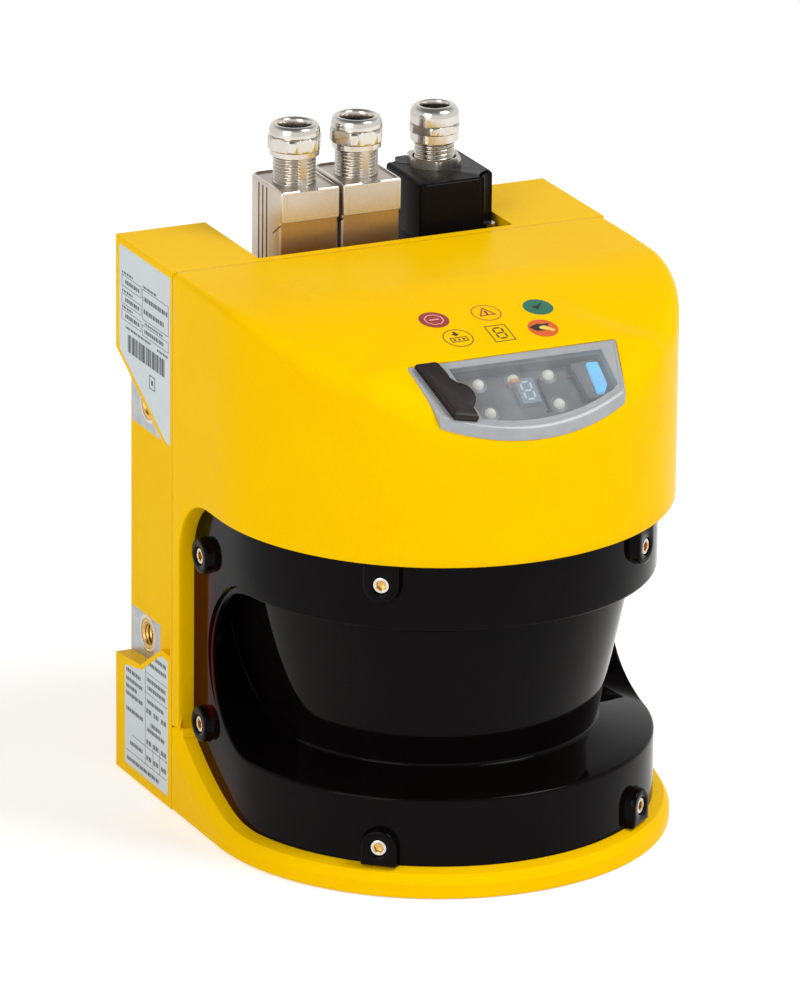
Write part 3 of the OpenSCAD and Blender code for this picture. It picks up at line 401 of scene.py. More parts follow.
class Shape:
    """Points and faces of one piece, in millimetres."""

    def __init__(self):
        self.points, self.faces, self.kinds = [], [], []

    def ring(self, points):
        first = len(self.points)
        self.points.extend(Vector(p) for p in points)
        return list(range(first, len(self.points)))

    def skin(self, low, high, closed=True, kind=0):
        count = len(low)
        for i in range(count if closed else count - 1):
            j = (i + 1) % count
            self.faces.append((low[i], low[j], high[j], high[i]))
            self.kinds.append(kind)

    def skins(self, rings, closed=True, kind=0):
        made = [self.ring(points) for points in rings]
        for low, high in zip(made, made[1:]):
            self.skin(low, high, closed, kind)
        return made

    def lid(self, ring):
        self.faces.append(tuple(ring))
        self.kinds.append(0)

    def fan(self, ring, point, kind=0):
        top = self.ring([point])[0]
        for i, low in enumerate(ring):
            self.faces.append((low, ring[(i + 1) % len(ring)], top))
            self.kinds.append(kind)

    def mesh(self, name, place=None, sharp=30.0, weld=0.002):
        """Blender mesh with doubles merged, faces turned outward and edges over the angle sharp."""
        mesh = bpy.data.meshes.new(name)
        spots = [(place @ p if place else p) * MM for p in self.points]
        mesh.from_pydata(spots, [], self.faces)
        for face, kind in zip(mesh.polygons, self.kinds):
            face.material_index = kind
        tidy_mesh(mesh, weld)
        return sharpen(mesh, sharp)


def tidy_mesh(mesh, weld=0.002):
    work = bmesh.new()
    work.from_mesh(mesh)
    bmesh.ops.remove_doubles(work, verts=work.verts, dist=weld * MM)
    bmesh.ops.dissolve_degenerate(work, edges=work.edges, dist=weld * MM * 0.5)
    bmesh.ops.recalc_face_normals(work, faces=work.faces)
    work.to_mesh(mesh)
    work.free()


def sharpen(mesh, angle=30.0):
    limit = math.radians(angle)
    work = bmesh.new()
    work.from_mesh(mesh)
    for face in work.faces:
        face.smooth = True
    for edge in work.edges:
        edge.smooth = len(edge.link_faces) == 2 and edge.calc_face_angle(0) < limit
    work.to_mesh(mesh)
    work.free()
    mesh.update()
    return mesh


def add(name, mesh, *mats, body="housing", like=None, stands_for=()):
    """New piece on a body, with its finish and the CAD nodes that it stands for."""
    obj = bpy.data.objects.new(name, mesh)
    bpy.context.scene.collection.objects.link(obj)
    for mat in mats:
        mesh.materials.append(mat)
    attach(obj, body)
    if stands_for:
        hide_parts(*stands_for)
    return obj


def settle(obj, sharp=30.0):
    """Turn an object's modifiers into its own mesh."""
    graph = bpy.context.evaluated_depsgraph_get()
    mesh = bpy.data.meshes.new_from_object(obj.evaluated_get(graph), depsgraph=graph)
    old = obj.data
    obj.modifiers.clear()
    obj.data = mesh
    bpy.data.meshes.remove(old)
    sharpen(mesh, sharp)


def carve(obj, meshes):
    """Cut meshes out of an object, one after another."""
    for mesh in meshes:
        tool = bpy.data.objects.new("cutter", mesh)
        bpy.context.scene.collection.objects.link(tool)
        cut = obj.modifiers.new("cut", "BOOLEAN")
        cut.operation, cut.solver, cut.object = "DIFFERENCE", "EXACT", tool
        settle(obj)
        bpy.data.objects.remove(tool)
        bpy.data.meshes.remove(mesh)


def bevel(obj, width, segments=3, angle=40.0):
    edges = obj.modifiers.new("edges", "BEVEL")
    edges.width, edges.segments = width, segments
    edges.limit_method, edges.angle_limit = "ANGLE", math.radians(angle)
    edges.use_clamp_overlap = True
    edges.harden_normals = True


def dress(node, mat):
    """Give a CAD node its finish."""
    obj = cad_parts[node]
    if not obj.data.materials:
        obj.data.materials.append(mat)
    for i in range(len(obj.data.materials)):
        obj.data.materials[i] = mat


def soften(node, width, segments=3):
    """Round a CAD node's edges with modifiers."""
    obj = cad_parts[node]
    obj.modifiers.new("weld", "WELD").merge_threshold = 0.00001
    flat = obj.modifiers.new("flat", "DECIMATE")
    flat.decimate_type, flat.angle_limit = "DISSOLVE", math.radians(0.8)
    bevel(obj, width, segments)


def circle(radius, count, z=0.0):
    turns = [math.tau * i / count for i in range(count)]
    return [Vector((radius * math.cos(turn), radius * math.sin(turn), z)) for turn in turns]


def prism(outline, low, high, place=None, name="block"):
    """Closed block over an outline of (x, y) points between two heights."""
    shape = Shape()
    a = shape.ring([(x, y, low) for x, y in outline])
    b = shape.ring([(x, y, high) for x, y in outline])
    shape.skin(a, b)
    shape.lid(a[::-1])
    shape.lid(b)
    return shape.mesh(name, place)


def turned(profile, count=48, place=None, name="turned", sharp=30.0, ends=True):
    """Closed body turned round Z from (radius, z) points."""
    shape = Shape()
    rings = shape.skins([circle(max(r, 0.001), count, z) for r, z in profile])
    if ends:
        shape.lid(rings[0][::-1])
        shape.lid(rings[-1])
    return shape.mesh(name, place, sharp)


def rounded_outline(points, radius, steps=4):
    """Outline with each corner replaced by a short arc-like curve."""
    out, count = [], len(points)
    radii = radius if isinstance(radius, (list, tuple)) else [radius] * count
    for i in range(count):
        here, before, after = (Vector(points[k % count]) for k in (i, i - 1, i + 1))
        reach = min(radii[i], (before - here).length * 0.45, (after - here).length * 0.45)
        if reach <= 0.001:
            out.append(tuple(here))
            continue
        a = here + (before - here).normalized() * reach
        b = here + (after - here).normalized() * reach
        for k in range(steps + 1):
            t = k / steps
            out.append(tuple(a * (1 - t) ** 2 + here * 2 * t * (1 - t) + b * t * t))
    return out


def face_place():
    """Places local points on the display's sloping face."""
    return Matrix.Translation(FACE_AT) @ Matrix.Rotation(FACE_TURN, 4, "X")


def smooth_low(a, b, width):
    h = min(1.0, max(0.0, 0.5 + 0.5 * (b - a) / width))
    return b + (a - b) * h - width * h * (1 - h)


def smooth_high(a, b, width):
    return -smooth_low(-a, -b, width)


def ease(value):
    value = min(1.0, max(0.0, value))
    return value * value * (3 - 2 * value)


# ---------- front casting ----------

def hood_height(x, y):
    """Height of the hood's top: a round arc, with a raised middle that ends in the display's face."""
    arc = TOP_Z if y >= 0 else TOP_Z - 125 + math.sqrt(max(0.0, 125 ** 2 - y * y))
    if y > 5:
        return TOP_Z
    face_y, face_z = FACE_AT.y, FACE_AT.z
    middle_arc = TOP_Z - 200 + math.sqrt(200 ** 2 - (y - 5) ** 2)
    face = face_z + (y - face_y) * math.tan(FACE_TURN)
    flare, fall, tilt = math.radians(5.6), math.radians(11), math.radians(7.28)
    across, along = abs(x) - 37.8, y - face_y
    out = across * math.cos(flare) - along * math.sin(flare)
    back = across * math.sin(flare) + along * math.cos(flare)
    roof = face_z + (0.5 - out * math.tan(fall) + back * math.sin(tilt)) / math.cos(tilt)
    raised = smooth_low(smooth_low(middle_arc, face, 0.25), roof, 1.0)
    return min(TOP_Z, smooth_high(arc, raised, 0.9))


def on_wall(s, inset, z):
    """Point on the front casting's plan: s runs along the outer wall from the middle of the front."""
    side, b, r = (1 if s >= 0 else -1), abs(s), HALF_W - inset
    if b <= QUARTER:
        turn = b / HALF_W
        return Vector((side * r * math.sin(turn), ARC_Y - r * math.cos(turn), z))
    return Vector((side * r, ARC_Y + b - QUARTER, z))


def wall_y(b):
    return ARC_Y - HALF_W * math.cos(b / HALF_W) if b <= QUARTER else ARC_Y + b - QUARTER


def gusset_height(y):
    if y <= GUSSET_Y:
        return BASE_Z
    return BASE_Z + GUSSET_R - math.sqrt(GUSSET_R ** 2 - (y - GUSSET_Y) ** 2)


HALF_STEPS = 96
ARCH_STEPS, JAMB_STEPS, FOOT_STEPS = 7, 10, 3
SEAM_S = QUARTER + SEAM_Y - ARC_Y
STRIP_S = QUARTER + STRIP_Y - ARC_Y
ARCH_S = STRIP_S - ARCH_R


def opening_edge():
    """Half of the opening's edge, from the middle of the hood's edge round to the middle of the base.

    Each entry holds the place along the wall, the height, the outward direction in the wall, and the part it is in.
    """
    edge = []
    length = ARCH_S + ARCH_R * math.pi / 4
    for k in range(HALF_STEPS + 1):
        reach = length * k / HALF_STEPS
        turn = max(0.0, (reach - ARCH_S) / ARCH_R)
        if turn == 0:
            edge.append((reach, HOOD_EDGE_Z, 0.0, 1.0, "hood"))
        else:
            edge.append((ARCH_S + ARCH_R * math.sin(turn), HOOD_EDGE_Z - ARCH_R * (1 - math.cos(turn)),
                         math.sin(turn), math.cos(turn), "hood"))
    for k in range(1, ARCH_STEPS + 1):
        turn = math.pi / 4 * (1 + k / ARCH_STEPS)
        edge.append((ARCH_S + ARCH_R * math.sin(turn), HOOD_EDGE_Z - ARCH_R * (1 - math.cos(turn)),
                     math.sin(turn), math.cos(turn), "jamb"))
    top, foot = HOOD_EDGE_Z - ARCH_R, gusset_height(STRIP_Y) + 3.2
    for k in range(1, JAMB_STEPS + 1):
        edge.append((STRIP_S, top + (foot - top) * k / JAMB_STEPS, 1.0, 0.0, "jamb"))
    corner = gusset_height(STRIP_Y)
    for k in range(1, FOOT_STEPS + 1):
        edge.append((STRIP_S, foot - 0.35 + (corner - foot + 0.35) * (k - 1) / (FOOT_STEPS - 1), 1.0, 0.0,
                     "foot"))
    for k in range(HALF_STEPS - 1, -1, -1):
        b = STRIP_S * k / HALF_STEPS
        y = wall_y(b)
        slope = (gusset_height(wall_y(b + 0.2)) - gusset_height(wall_y(max(0.0, b - 0.2)))) / (0.2 + min(b,
                                                                                                         0.2))
        size = math.hypot(slope, 1.0)
        edge.append((b, gusset_height(y), slope / size, -1.0 / size, "base"))
    return edge


def outer_edge(count):
    """Half of the casting's own outline to pair with the opening's edge."""
    edge = []
    for k in range(HALF_STEPS + 1):
        edge.append((SEAM_S * k / HALF_STEPS, None))
    shoulder, jamb = TOP_Z - sizes().shoulder / MM, 95.0
    for k in range(1, ARCH_STEPS + 1):
        edge.append((SEAM_S, shoulder + (jamb - shoulder) * k / ARCH_STEPS))
    for k in range(1, JAMB_STEPS + 1):
        edge.append((SEAM_S, jamb + (30.6 - jamb) * k / JAMB_STEPS))
    for height in (28.0, 14.0, 0.8):
        edge.append((SEAM_S, height))
    for k in range(HALF_STEPS - 1, -1, -1):
        edge.append((SEAM_S * k / HALF_STEPS, 0.8))
    return edge[:count]


def shoulder_radius(y):
    back, front = sizes().shoulder / MM, sizes().brow / MM
    return back + (front - back) * ease((18 - y) / 75)


def casting_columns():
    """Rings of points from the outer wall to behind the cover, for one half of the front casting."""
    rim = sizes().rim / MM
    inner, outer = opening_edge(), outer_edge(10 ** 6)
    columns = []
    for (s, z, ns, nz, part), (qs, qz) in zip(inner, outer):
        if qz is None:
            top = on_wall(qs, 0, 0)
            qz = hood_height(top.x, top.y) - shoulder_radius(top.y)
        share = ease((wall_y(min(s, SEAM_S)) - GUSSET_Y) / (STRIP_Y - GUSSET_Y))
        if part in ("hood", "jamb"):
            spots = [(s + ns * rim, z + nz * rim, 0), (s + ns * rim * 0.3, z + nz * rim * 0.3, rim * 0.3),
                     (s, z, rim), (s, z, 1.5), (s, z, 2.0), (s, z, COVER_IN), (s, z, COVER_IN + 4)]
        else:
            drop, lift = 1.3 * (1 - share), 1.5 * share
            wide = (2.7 + 3.0 * share) if part == "base" else 4.6
            lower = (s + ns * wide, z - drop + nz * wide)
            mid, high = (s, z - drop), (s - ns * lift, z - nz * lift)
            if part == "foot":
                lower = (SEAM_S - 0.5, z - 0.9 * (gusset_height(STRIP_Y) + 3.2 - z))
            mix = lambda a, b, t: (a[0] + (b[0] - a[0]) * t, a[1] + (b[1] - a[1]) * t)
            e = 0.35
            spots = [(lower[0] + ns * e, lower[1] + nz * e, 0), (*mix(lower, mid, 0.02), 0.1),
                     (*mix(lower, mid, 0.12), 0.25), (*mix(lower, mid, 0.9), 1.35), (*mix(mid, high, 0.12),
                                                                                     1.75),
                     (*high, COVER_IN), (*high, COVER_IN + 4)]
        start = Vector((qs, qz, 0))
        first = Vector(spots[0])
        steps = [start.lerp(first, t) for t in (0.0, 0.25, 0.5, 0.75, 0.93)]
        columns.append([on_wall(p.x, p.z, p.y) for p in steps + [Vector(p) for p in spots]])
    return columns


def mirrored(columns):
    """Whole loop of columns from one half: the other half is its mirror image."""
    other = [[Vector((-p.x, p.y, p.z)) for p in column] for column in columns[-2:0:-1]]
    return columns + other


def hood_rings():
    """Rings from the shoulder in to the middle line of the top, over the hood's own columns."""
    places = [SEAM_S * k / HALF_STEPS for k in range(-HALF_STEPS, HALF_STEPS + 1)]
    turns, inner = 6, 52
    rings = []
    for k in range(turns + inner + 1):
        ring = []
        for s in places:
            edge = on_wall(s, 0, 0)
            r = shoulder_radius(edge.y)
            turn = math.pi / 2 * min(1.0, k / turns)
            if k <= turns:
                inset = r * (1 - math.cos(turn))
            else:
                inset = r + (HALF_W - r) * (k - turns) / inner
            spot = on_wall(s, min(inset, HALF_W - 0.0001), 0)
            drop = r - math.sqrt(max(0.0, r * r - (r - min(inset, r)) ** 2))
            spot.z = hood_height(spot.x, spot.y) - drop
            ring.append(spot)
        rings.append(ring)
    return rings


def pane_points(grow, low_y):
    """Trapezium of the display's pane on its face."""
    top, end = PANE_TOP + grow, PANE_TOP - PANE_LEAN * (-1 - low_y) + grow
    return [(-top, grow - 1), (-end, low_y), (end, low_y), (top, grow - 1)]


def build_front_casting():
    shape = Shape()
    loop = mirrored(casting_columns())
    rows = [[column[k] for column in loop] for k in range(len(loop[0]))]
    shape.skins(rows)
    shape.skins(hood_rings(), closed=False)
    floor_places = [SEAM_S * k / HALF_STEPS for k in range(-HALF_STEPS, HALF_STEPS + 1)]
    floor = [[on_wall(s, inset, z) for s in floor_places]
             for inset, z in ((0, 0.8), (0.25, 0.25), (0.8, 0), (6, 0), (30, 0), (HALF_W - 0.0001, 0))]
    shape.skins(floor, closed=False)
    mesh = shape.mesh("front_casting", weld=0.01)
    obj = add("front_casting", mesh, yellow_paint(), like="yellow_paint", stands_for=("front_housing",))
    shell = obj.modifiers.new("shell", "SOLIDIFY")
    shell.thickness, shell.offset, shell.use_even_offset = sizes().shell, -1.0, False
    settle(obj)
    for point in obj.data.vertices:
        point.co.x = min(HALF_W * MM, max(-HALF_W * MM, point.co.x))
        point.co.y = min(SEAM_Y * MM, point.co.y)
    seat = prism(rounded_outline(pane_points(0.15, -60), [1.6, 1, 1, 1.6], 5), -3.02, 20, face_place())
    carve(obj, [seat])
    bevel(obj, 0.00035, 2, 50)
    settle(obj, 24)


# ---------- optics cover ----------

COVER_R = HALF_W - COVER_IN
RECESS_LOW, RECESS_HIGH = 32.0, 89.0
RECESS_END_Y, RECESS_END_R = -15.0, 28.5
GROOVE_Z = 36.4
LOW_R, HIGH_R = 53.3, 64.4
INNER_HIGH_Y, INNER_LOW_Y, INNER_BACK_Y, INNER_MID_Z = 4.0, 2.0, 27.0, 62.0
BOSS_STEPS, BOSS_RISE = 64, 3.0
SIDE_SCREW_Y = 18.6


def window_radius(z):
    """Radius of the window's cone at a height."""
    return LOW_R + (z - GROOVE_Z) * (HIGH_R - LOW_R) / (RECESS_HIGH - GROOVE_Z)


def at_radius(s, r, z):
    """Point at a radius from the arc's centre, with s the place along the casting's outer wall."""
    return on_wall(s, HALF_W - r, z)


def place_of(y, r):
    """Place along the wall of a point at y on the surface of that radius."""
    if y >= ARC_Y:
        return QUARTER + y - ARC_Y
    return HALF_W * math.acos(min(1.0, (ARC_Y - y) / r))


def recess_half():
    """Half of the cover's outline with the recess's outer and inner edges, column by column."""
    outline = opening_edge()
    side = len(outline) - 2 * HALF_STEPS - 1
    front_high, front_low = 0.86, 0.80
    turn_high, turn_low = math.radians(62), math.radians(-58)
    end_s = place_of(RECESS_END_Y, COVER_R)
    columns = []
    for k, (s, z, ns, nz, _) in enumerate(outline):
        if k <= HALF_STEPS:
            t = k / HALF_STEPS
            share = (t - front_high) / (1 - front_high)
            turn = math.pi / 2 + (turn_high - math.pi / 2) * max(0.0, share)
            c = (end_s * t / front_high, RECESS_HIGH)
            w = (place_of(INNER_HIGH_Y, HIGH_R) * t / front_high, RECESS_HIGH)
        elif k <= HALF_STEPS + side:
            share = 1.0
            turn = turn_high + (turn_low - turn_high) * (k - HALF_STEPS) / (side + 1)
        else:
            t = (len(outline) - 1 - k) / HALF_STEPS
            share = (t - front_low) / (1 - front_low)
            turn = -math.pi / 2 + (turn_low + math.pi / 2) * max(0.0, share)
            c = (end_s * t / front_low, RECESS_LOW)
            w = (place_of(INNER_LOW_Y, LOW_R) * t / front_low, GROOVE_Z)
        if share > 0:
            c, w = end_point(turn), inner_point(turn)
        columns.append((s, z, ns, nz, c, w, turn))
    return columns


def end_point(turn):
    y = RECESS_END_Y + RECESS_END_R * math.cos(turn)
    return place_of(y, COVER_R), (RECESS_LOW + RECESS_HIGH) / 2 + RECESS_END_R * math.sin(turn)


def inner_point(turn):
    """Inner edge of the recess at its end, further back than the outer edge."""
    if turn >= 0:
        y = INNER_HIGH_Y + (INNER_BACK_Y - INNER_HIGH_Y) * math.cos(turn) ** 0.9
        z = INNER_MID_Z + (RECESS_HIGH - INNER_MID_Z) * math.sin(turn)
    else:
        y = INNER_LOW_Y + (INNER_BACK_Y - INNER_LOW_Y) * math.cos(turn) ** 1.1
        z = INNER_MID_Z + (INNER_MID_Z - GROOVE_Z) * math.sin(turn)
    return place_of(y, window_radius(z)), z


def cover_rows():
    """Rows of the cover from its outline to the window's edge, as whole loops of points."""
    fillet, edge = sizes().fillet / MM, sizes().cover_edge / MM
    columns = []
    for s, z, ns, nz, c, w, turn in recess_half():
        outer, inner = Vector((s - ns * 0.15, z - nz * 0.15, 0)), Vector((*c, 0))
        near = inner - (inner - outer).normalized() * edge
        spots = [at_radius(p.x, COVER_R, p.y) for p in (outer.lerp(inner, t) for t in (0.0, 0.33, 0.66))]
        corner, foot = at_radius(c[0], COVER_R, c[1]), at_radius(w[0], window_radius(w[1]), w[1])
        run = foot - corner
        down = run.normalized()
        round_in = 1.0 + (fillet - 1.0) * ease(1 - turn / (math.pi / 2))
        to = (w[0] - 6 * math.cos(turn), w[1] - 6 * math.sin(turn))
        glass_way = (at_radius(to[0], window_radius(to[1]), to[1]) - foot).normalized()
        spots += curve(at_radius(near.x, COVER_R, near.y), corner, corner + down * edge, 4)
        spots += [corner + run * t for t in (0.3, 0.52)]
        spots += curve(foot - down * min(round_in, run.length * 0.4), foot, foot + glass_way * round_in, 5)
        columns.append(spots)
    loop = mirrored(columns)
    return [[column[k] for column in loop] for k in range(len(loop[0]))], len(columns)


def curve(a, b, c, steps):
    return [a * (1 - k / steps) ** 2 + b * 2 * (k / steps) * (1 - k / steps) + c * (k / steps) ** 2
            for k in range(steps + 1)]


def boss_outline(grow, tab):
    """Round boss; with a tab its sides run straight on to the tab's end."""
    r, points = 5.9 + grow, []
    for i in range(BOSS_STEPS):
        turn = math.tau * i / BOSS_STEPS
        x, y = r * math.cos(turn), r * math.sin(turn)
        if tab and y * tab > 0:
            square = max(abs(math.cos(turn)), abs(math.sin(turn)))
            x, y = x / square, abs(tab) * math.sin(turn) / square
        points.append((x, y))
    return points


def screw_place(side, angle, z):
    """Place of a front cover screw, with Z out of the boss."""
    return (Matrix.Translation((0, ARC_Y, z)) @ Matrix.Rotation(side * math.radians(angle), 4, "Z")
            @ Matrix.Translation((0, -COVER_R - BOSS_RISE, 0)) @ Matrix.Rotation(math.pi / 2, 4, "X"))


def side_place(side, z):
    """Place of a side cover screw, with Z out of the boss."""
    at = Matrix.Translation((side * (COVER_R + BOSS_RISE), SIDE_SCREW_Y, z))
    return at @ Matrix.Rotation(side * math.pi / 2, 4, "Y")


def cover_screw_places():
    """Every cover screw's place, with the reach of its boss's tab."""
    places = []
    for side in (-1, 1):
        places.append((screw_place(side, 39, 104.8), 7.4))
        places.append((screw_place(side, 39, 15.6), -6.2))
        places.append((side_place(side, 93.0), 0))
        places.append((side_place(side, 35.0), 0))
    return places


def boss_shape(tab):
    shape = Shape()
    hole = circle(2.95, BOSS_STEPS)
    face = [Vector((*p, 0)) for p in boss_outline(-0.7, tab and math.copysign(abs(tab) - 0.7, tab))]
    mid = [Vector((*p, -0.2)) for p in boss_outline(-0.2, tab and math.copysign(abs(tab) - 0.2, tab))]
    edge = [Vector((*p, -0.7)) for p in boss_outline(0, tab)]
    step = [Vector((*p, -2.3)) for p in boss_outline(0, tab)]
    foot = [Vector((*p, -3.4)) for p in boss_outline(0.6, tab)]
    tail = [Vector((*p, -4.5)) for p in boss_outline(0.6, tab)]
    rings = [[p + Vector((0, 0, -4.5)) for p in hole], [p + Vector((0, 0, -0.25)) for p in hole],
             circle(3.2, BOSS_STEPS), face, mid, edge, step, foot, tail]
    made = shape.skins(rings)
    shape.skin(made[-1], made[0])
    return shape


def build_optics_cover():
    shape = Shape()
    rows, half = cover_rows()
    last = shape.skins(rows)[-1]
    ends = half - 2 * HALF_STEPS - 1
    right = last[HALF_STEPS + 1:HALF_STEPS + 1 + ends]
    left = last[half + HALF_STEPS - 1:half + HALF_STEPS - 1 + ends][::-1]
    upper = last[half + HALF_STEPS - 1 + ends:] + last[:HALF_STEPS + 1]
    lower = [left[-1]] + last[half:half + HALF_STEPS - 1][::-1] + last[HALF_STEPS + 1 + ends:half][::-1] + [right[-1]]
    tops, lows = ([wall_spot(shape.points[i]) for i in row] for row in (upper, lower))
    grid = [upper]
    for k in range(ends - 1):
        sides = wall_spot(shape.points[left[k]]), wall_spot(shape.points[right[k]])
        inner = [window_point(tops, lows, sides, i, (k + 1) / ends) for i in range(1, len(upper) - 1)]
        grid.append([left[k]] + shape.ring(inner) + [right[k]])
    grid.append(lower)
    for high, low in zip(grid, grid[1:]):
        shape.skin(high, low, closed=False)
    mesh = shape.mesh("optics_cover", sharp=40, weld=0.005)
    obj = add("optics_cover", mesh, cover_plastic(), like="cover_plastic",
              stands_for=("optics_cover_low", "optics_window", "optics_cover_high"))
    wall = obj.modifiers.new("wall", "SOLIDIFY")
    wall.thickness, wall.offset = 0.0022, -1.0
    settle(obj, 40)
    for number, (place, tab) in enumerate(cover_screw_places()):
        mesh = boss_shape(tab).mesh("cover_boss", place, 50)
        add("cover_boss_%d" % number, mesh, cover_plastic(), like="cover_plastic")


def wall_spot(p):
    """Place along the wall and height of a point on the cover."""
    side = 1 if p.x >= 0 else -1
    if p.y >= ARC_Y:
        return side * (QUARTER + p.y - ARC_Y), p.z
    return side * HALF_W * math.atan2(abs(p.x), ARC_Y - p.y), p.z


def window_point(tops, lows, sides, i, t):
    """Point i of a row at share t down the window, filled in from its four edges and kept on the cone."""
    u = i / (len(tops) - 1)
    spot = []
    for k in range(2):
        spot.append((1 - t) * tops[i][k] + t * lows[i][k] + (1 - u) * sides[0][k] + u * sides[1][k]
                    - (1 - t) * ((1 - u) * tops[0][k] + u * tops[-1][k])
                    - t * ((1 - u) * lows[0][k] + u * lows[-1][k]))
    return at_radius(spot[0], window_radius(spot[1]), spot[1])


# ---------- cover screws ----------

def screw_finishes():
    return nickel(), brass()


def socket_screw(head_r=2.65, top=-0.35, key=1.35, depth=1.5):
    """Round screw head with a hexagon socket; the socket's walls and floor are the second finish."""
    count = 48
    shape = Shape()
    rings = [circle(head_r, count, -2.6), circle(head_r, count, top - 0.3),
             circle(head_r - 0.1, count, top - 0.1),
             circle(head_r - 0.3, count, top), circle(head_r * 0.66, count, top)]
    shape.skins(rings)
    turns = [math.tau * i / count for i in range(count)]
    hexagon = [hexagon_reach(t, key, -math.pi / 6) * Vector((math.cos(t), math.sin(t), 0)) for t in turns]
    inner = [circle(head_r * 0.66, count, top), [p + Vector((0, 0, top - 0.25)) for p in hexagon],
             [p * 0.98 + Vector((0, 0, top - depth)) for p in hexagon]]
    made = shape.skins(inner, kind=1)
    shape.fan(made[-1], (0, 0, top - depth - 0.5), kind=1)
    return shape


def build_cover_screws():
    for number, (place, _) in enumerate(cover_screw_places()):
        mesh = socket_screw().mesh("cover_screw", place @ Matrix.Rotation(number * 0.4, 4, "Z"), 35)
        add("cover_screw_%d" % number, mesh, *screw_finishes(), like="nickel_screws",
            stands_for=("cover_screws",) if number == 0 else ())


# ---------- display ----------

def face_curve(x, grow, depth=0.0):
    """Where the hood's front wall, moved in by grow, crosses the display's face at a depth."""
    y = ARC_Y - math.sqrt((HALF_W - grow) ** 2 - x * x)
    return (y - FACE_AT.y + depth * math.sin(FACE_TURN)) / math.cos(FACE_TURN)


def spread(points, count):
    """Evenly spaced points along a line through the given points, without the last one."""
    points = [Vector(p) for p in points]
    runs = [(b - a).length for a, b in zip(points, points[1:])]
    out = []
    for k in range(count):
        left = sum(runs) * k / count
        for a, b, run in zip(points, points[1:], runs):
            if left <= run:
                out.append(a.lerp(b, left / run))
                break
            left -= run
    return out


def pane_loop(shrink, depth):
    """Outline of the pane at a depth, drawn in by shrink, as 96 points."""
    top = -1.0 - shrink
    half_top = PANE_TOP - shrink
    wall = 0.25 + shrink

    def side_x(y):
        return PANE_TOP - PANE_LEAN * (-1 - y) - shrink * 1.02

    low = -22.0
    for _ in range(30):
        low = face_curve(side_x(low), wall, depth)
    corner = side_x(low)
    arc = [(corner - 2 * corner * k / 40, face_curve(corner - 2 * corner * k / 40, wall,
                                                     depth)) for k in range(41)]
    line = spread([(-half_top, top), (half_top, top)], 24) + spread([(half_top, top), (corner, low)], 12)
    line += spread(arc, 48) + spread([(-corner, low), (-half_top, top)], 12)
    return line


def window_loop(grow=0.0):
    """Outline of the clear part of the pane, as 96 points that pair with the pane's outline."""
    arc = [(29.0 - 47.5 * k / 20, face_curve(29.0 - 47.5 * k / 20, 0) + 4.2) for k in range(21)]
    right, left = (31.2 + grow, -17.6), (-22.8 - grow, -3.4 + grow)
    top = spread([left, (30.6 + grow, -3.8 + grow)], 24) + spread([(30.6 + grow, -3.8 + grow), right, arc[0]],
                                                                  12)
    arc = [(x, y - grow) for x, y in arc]
    return top + spread(arc, 48) + spread([arc[-1], left], 12)


def at_depth(loop, z):
    return [Vector((p[0], p[1], z)) for p in loop]


def pane_finish():
    return grained("pane_rim", (0.40, 0.41, 0.41), (0.33, 0.34, 0.35), 260.0, 60.0, (0.12, 0.20), 0.0,
                   Specular_IOR_Level=0.3, Coat_Weight=0.12, Coat_Roughness=0.06, IOR=1.49)


def window_finish():
    mat = grained("pane_window", (0.46, 0.48, 0.48), (0.38, 0.40, 0.41), 200.0, 45.0, (0.05, 0.09), 0.0,
                  IOR=1.49)
    cloud = placed(mat, "Smudges", {"Patch Scale": 55.0, "Clean": 0.17, "Dull": 0.30})
    mat.node_tree.links.new(cloud.outputs["Roughness"], shader_of(mat).inputs["Alpha"])
    return mat


def tray_finish():
    return grained("display_tray", (0.16, 0.165, 0.18), (0.12, 0.125, 0.14), 900.0, 90.0, (0.45, 0.6),
                   0.00001)


def painted_glow(name, tone, strength):
    """Plastic with a painted glow: its cloudy grain colour also feeds the emission, so it looks faintly lit from
    within its body.
    """
    mat = made_before(name)
    if mat:
        return mat
    mat = grained(name, tone, [v * 0.85 for v in tone], 700.0, 120.0, (0.3, 0.4), 0.0)
    shader = shader_of(mat)
    skin = shader.inputs["Base Color"].links[0].from_socket
    mat.node_tree.links.new(skin, shader.inputs["Emission Color"])
    shader.inputs["Emission Strength"].default_value = strength
    return mat


# middle of the service socket on the display's face, and the display board's height under it
SOCKET_X, SOCKET_Y = -24.3, -15.6
BOARD_Z = -7.45


def socket_hole(place):
    """Round hole over the service socket."""
    return prism([(p.x + SOCKET_X, p.y + SOCKET_Y) for p in circle(4.75, 48)], -8, 4, place)


def digit_bars(at, side, rise, flat, tall, wide):
    """Outlines of the seven bars of a digit round a middle; the uprights stand at half the rise."""
    spots = [(0, y, flat, False) for y in (rise, 0, -rise)]
    spots += [(x, y, tall, True) for y in (rise / 2, -rise / 2) for x in (-side, side)]
    bars = []
    for x, y, length, upright in spots:
        half = length / 2
        bar = [(-half, 0), (-half + wide, -wide), (half - wide, -wide), (half, 0), (half - wide, wide),
               (-half + wide, wide)]
        bars.append([(at[0] + x + (-b if upright else a), at[1] + y + (a if upright else b)) for a, b in bar])
    return bars


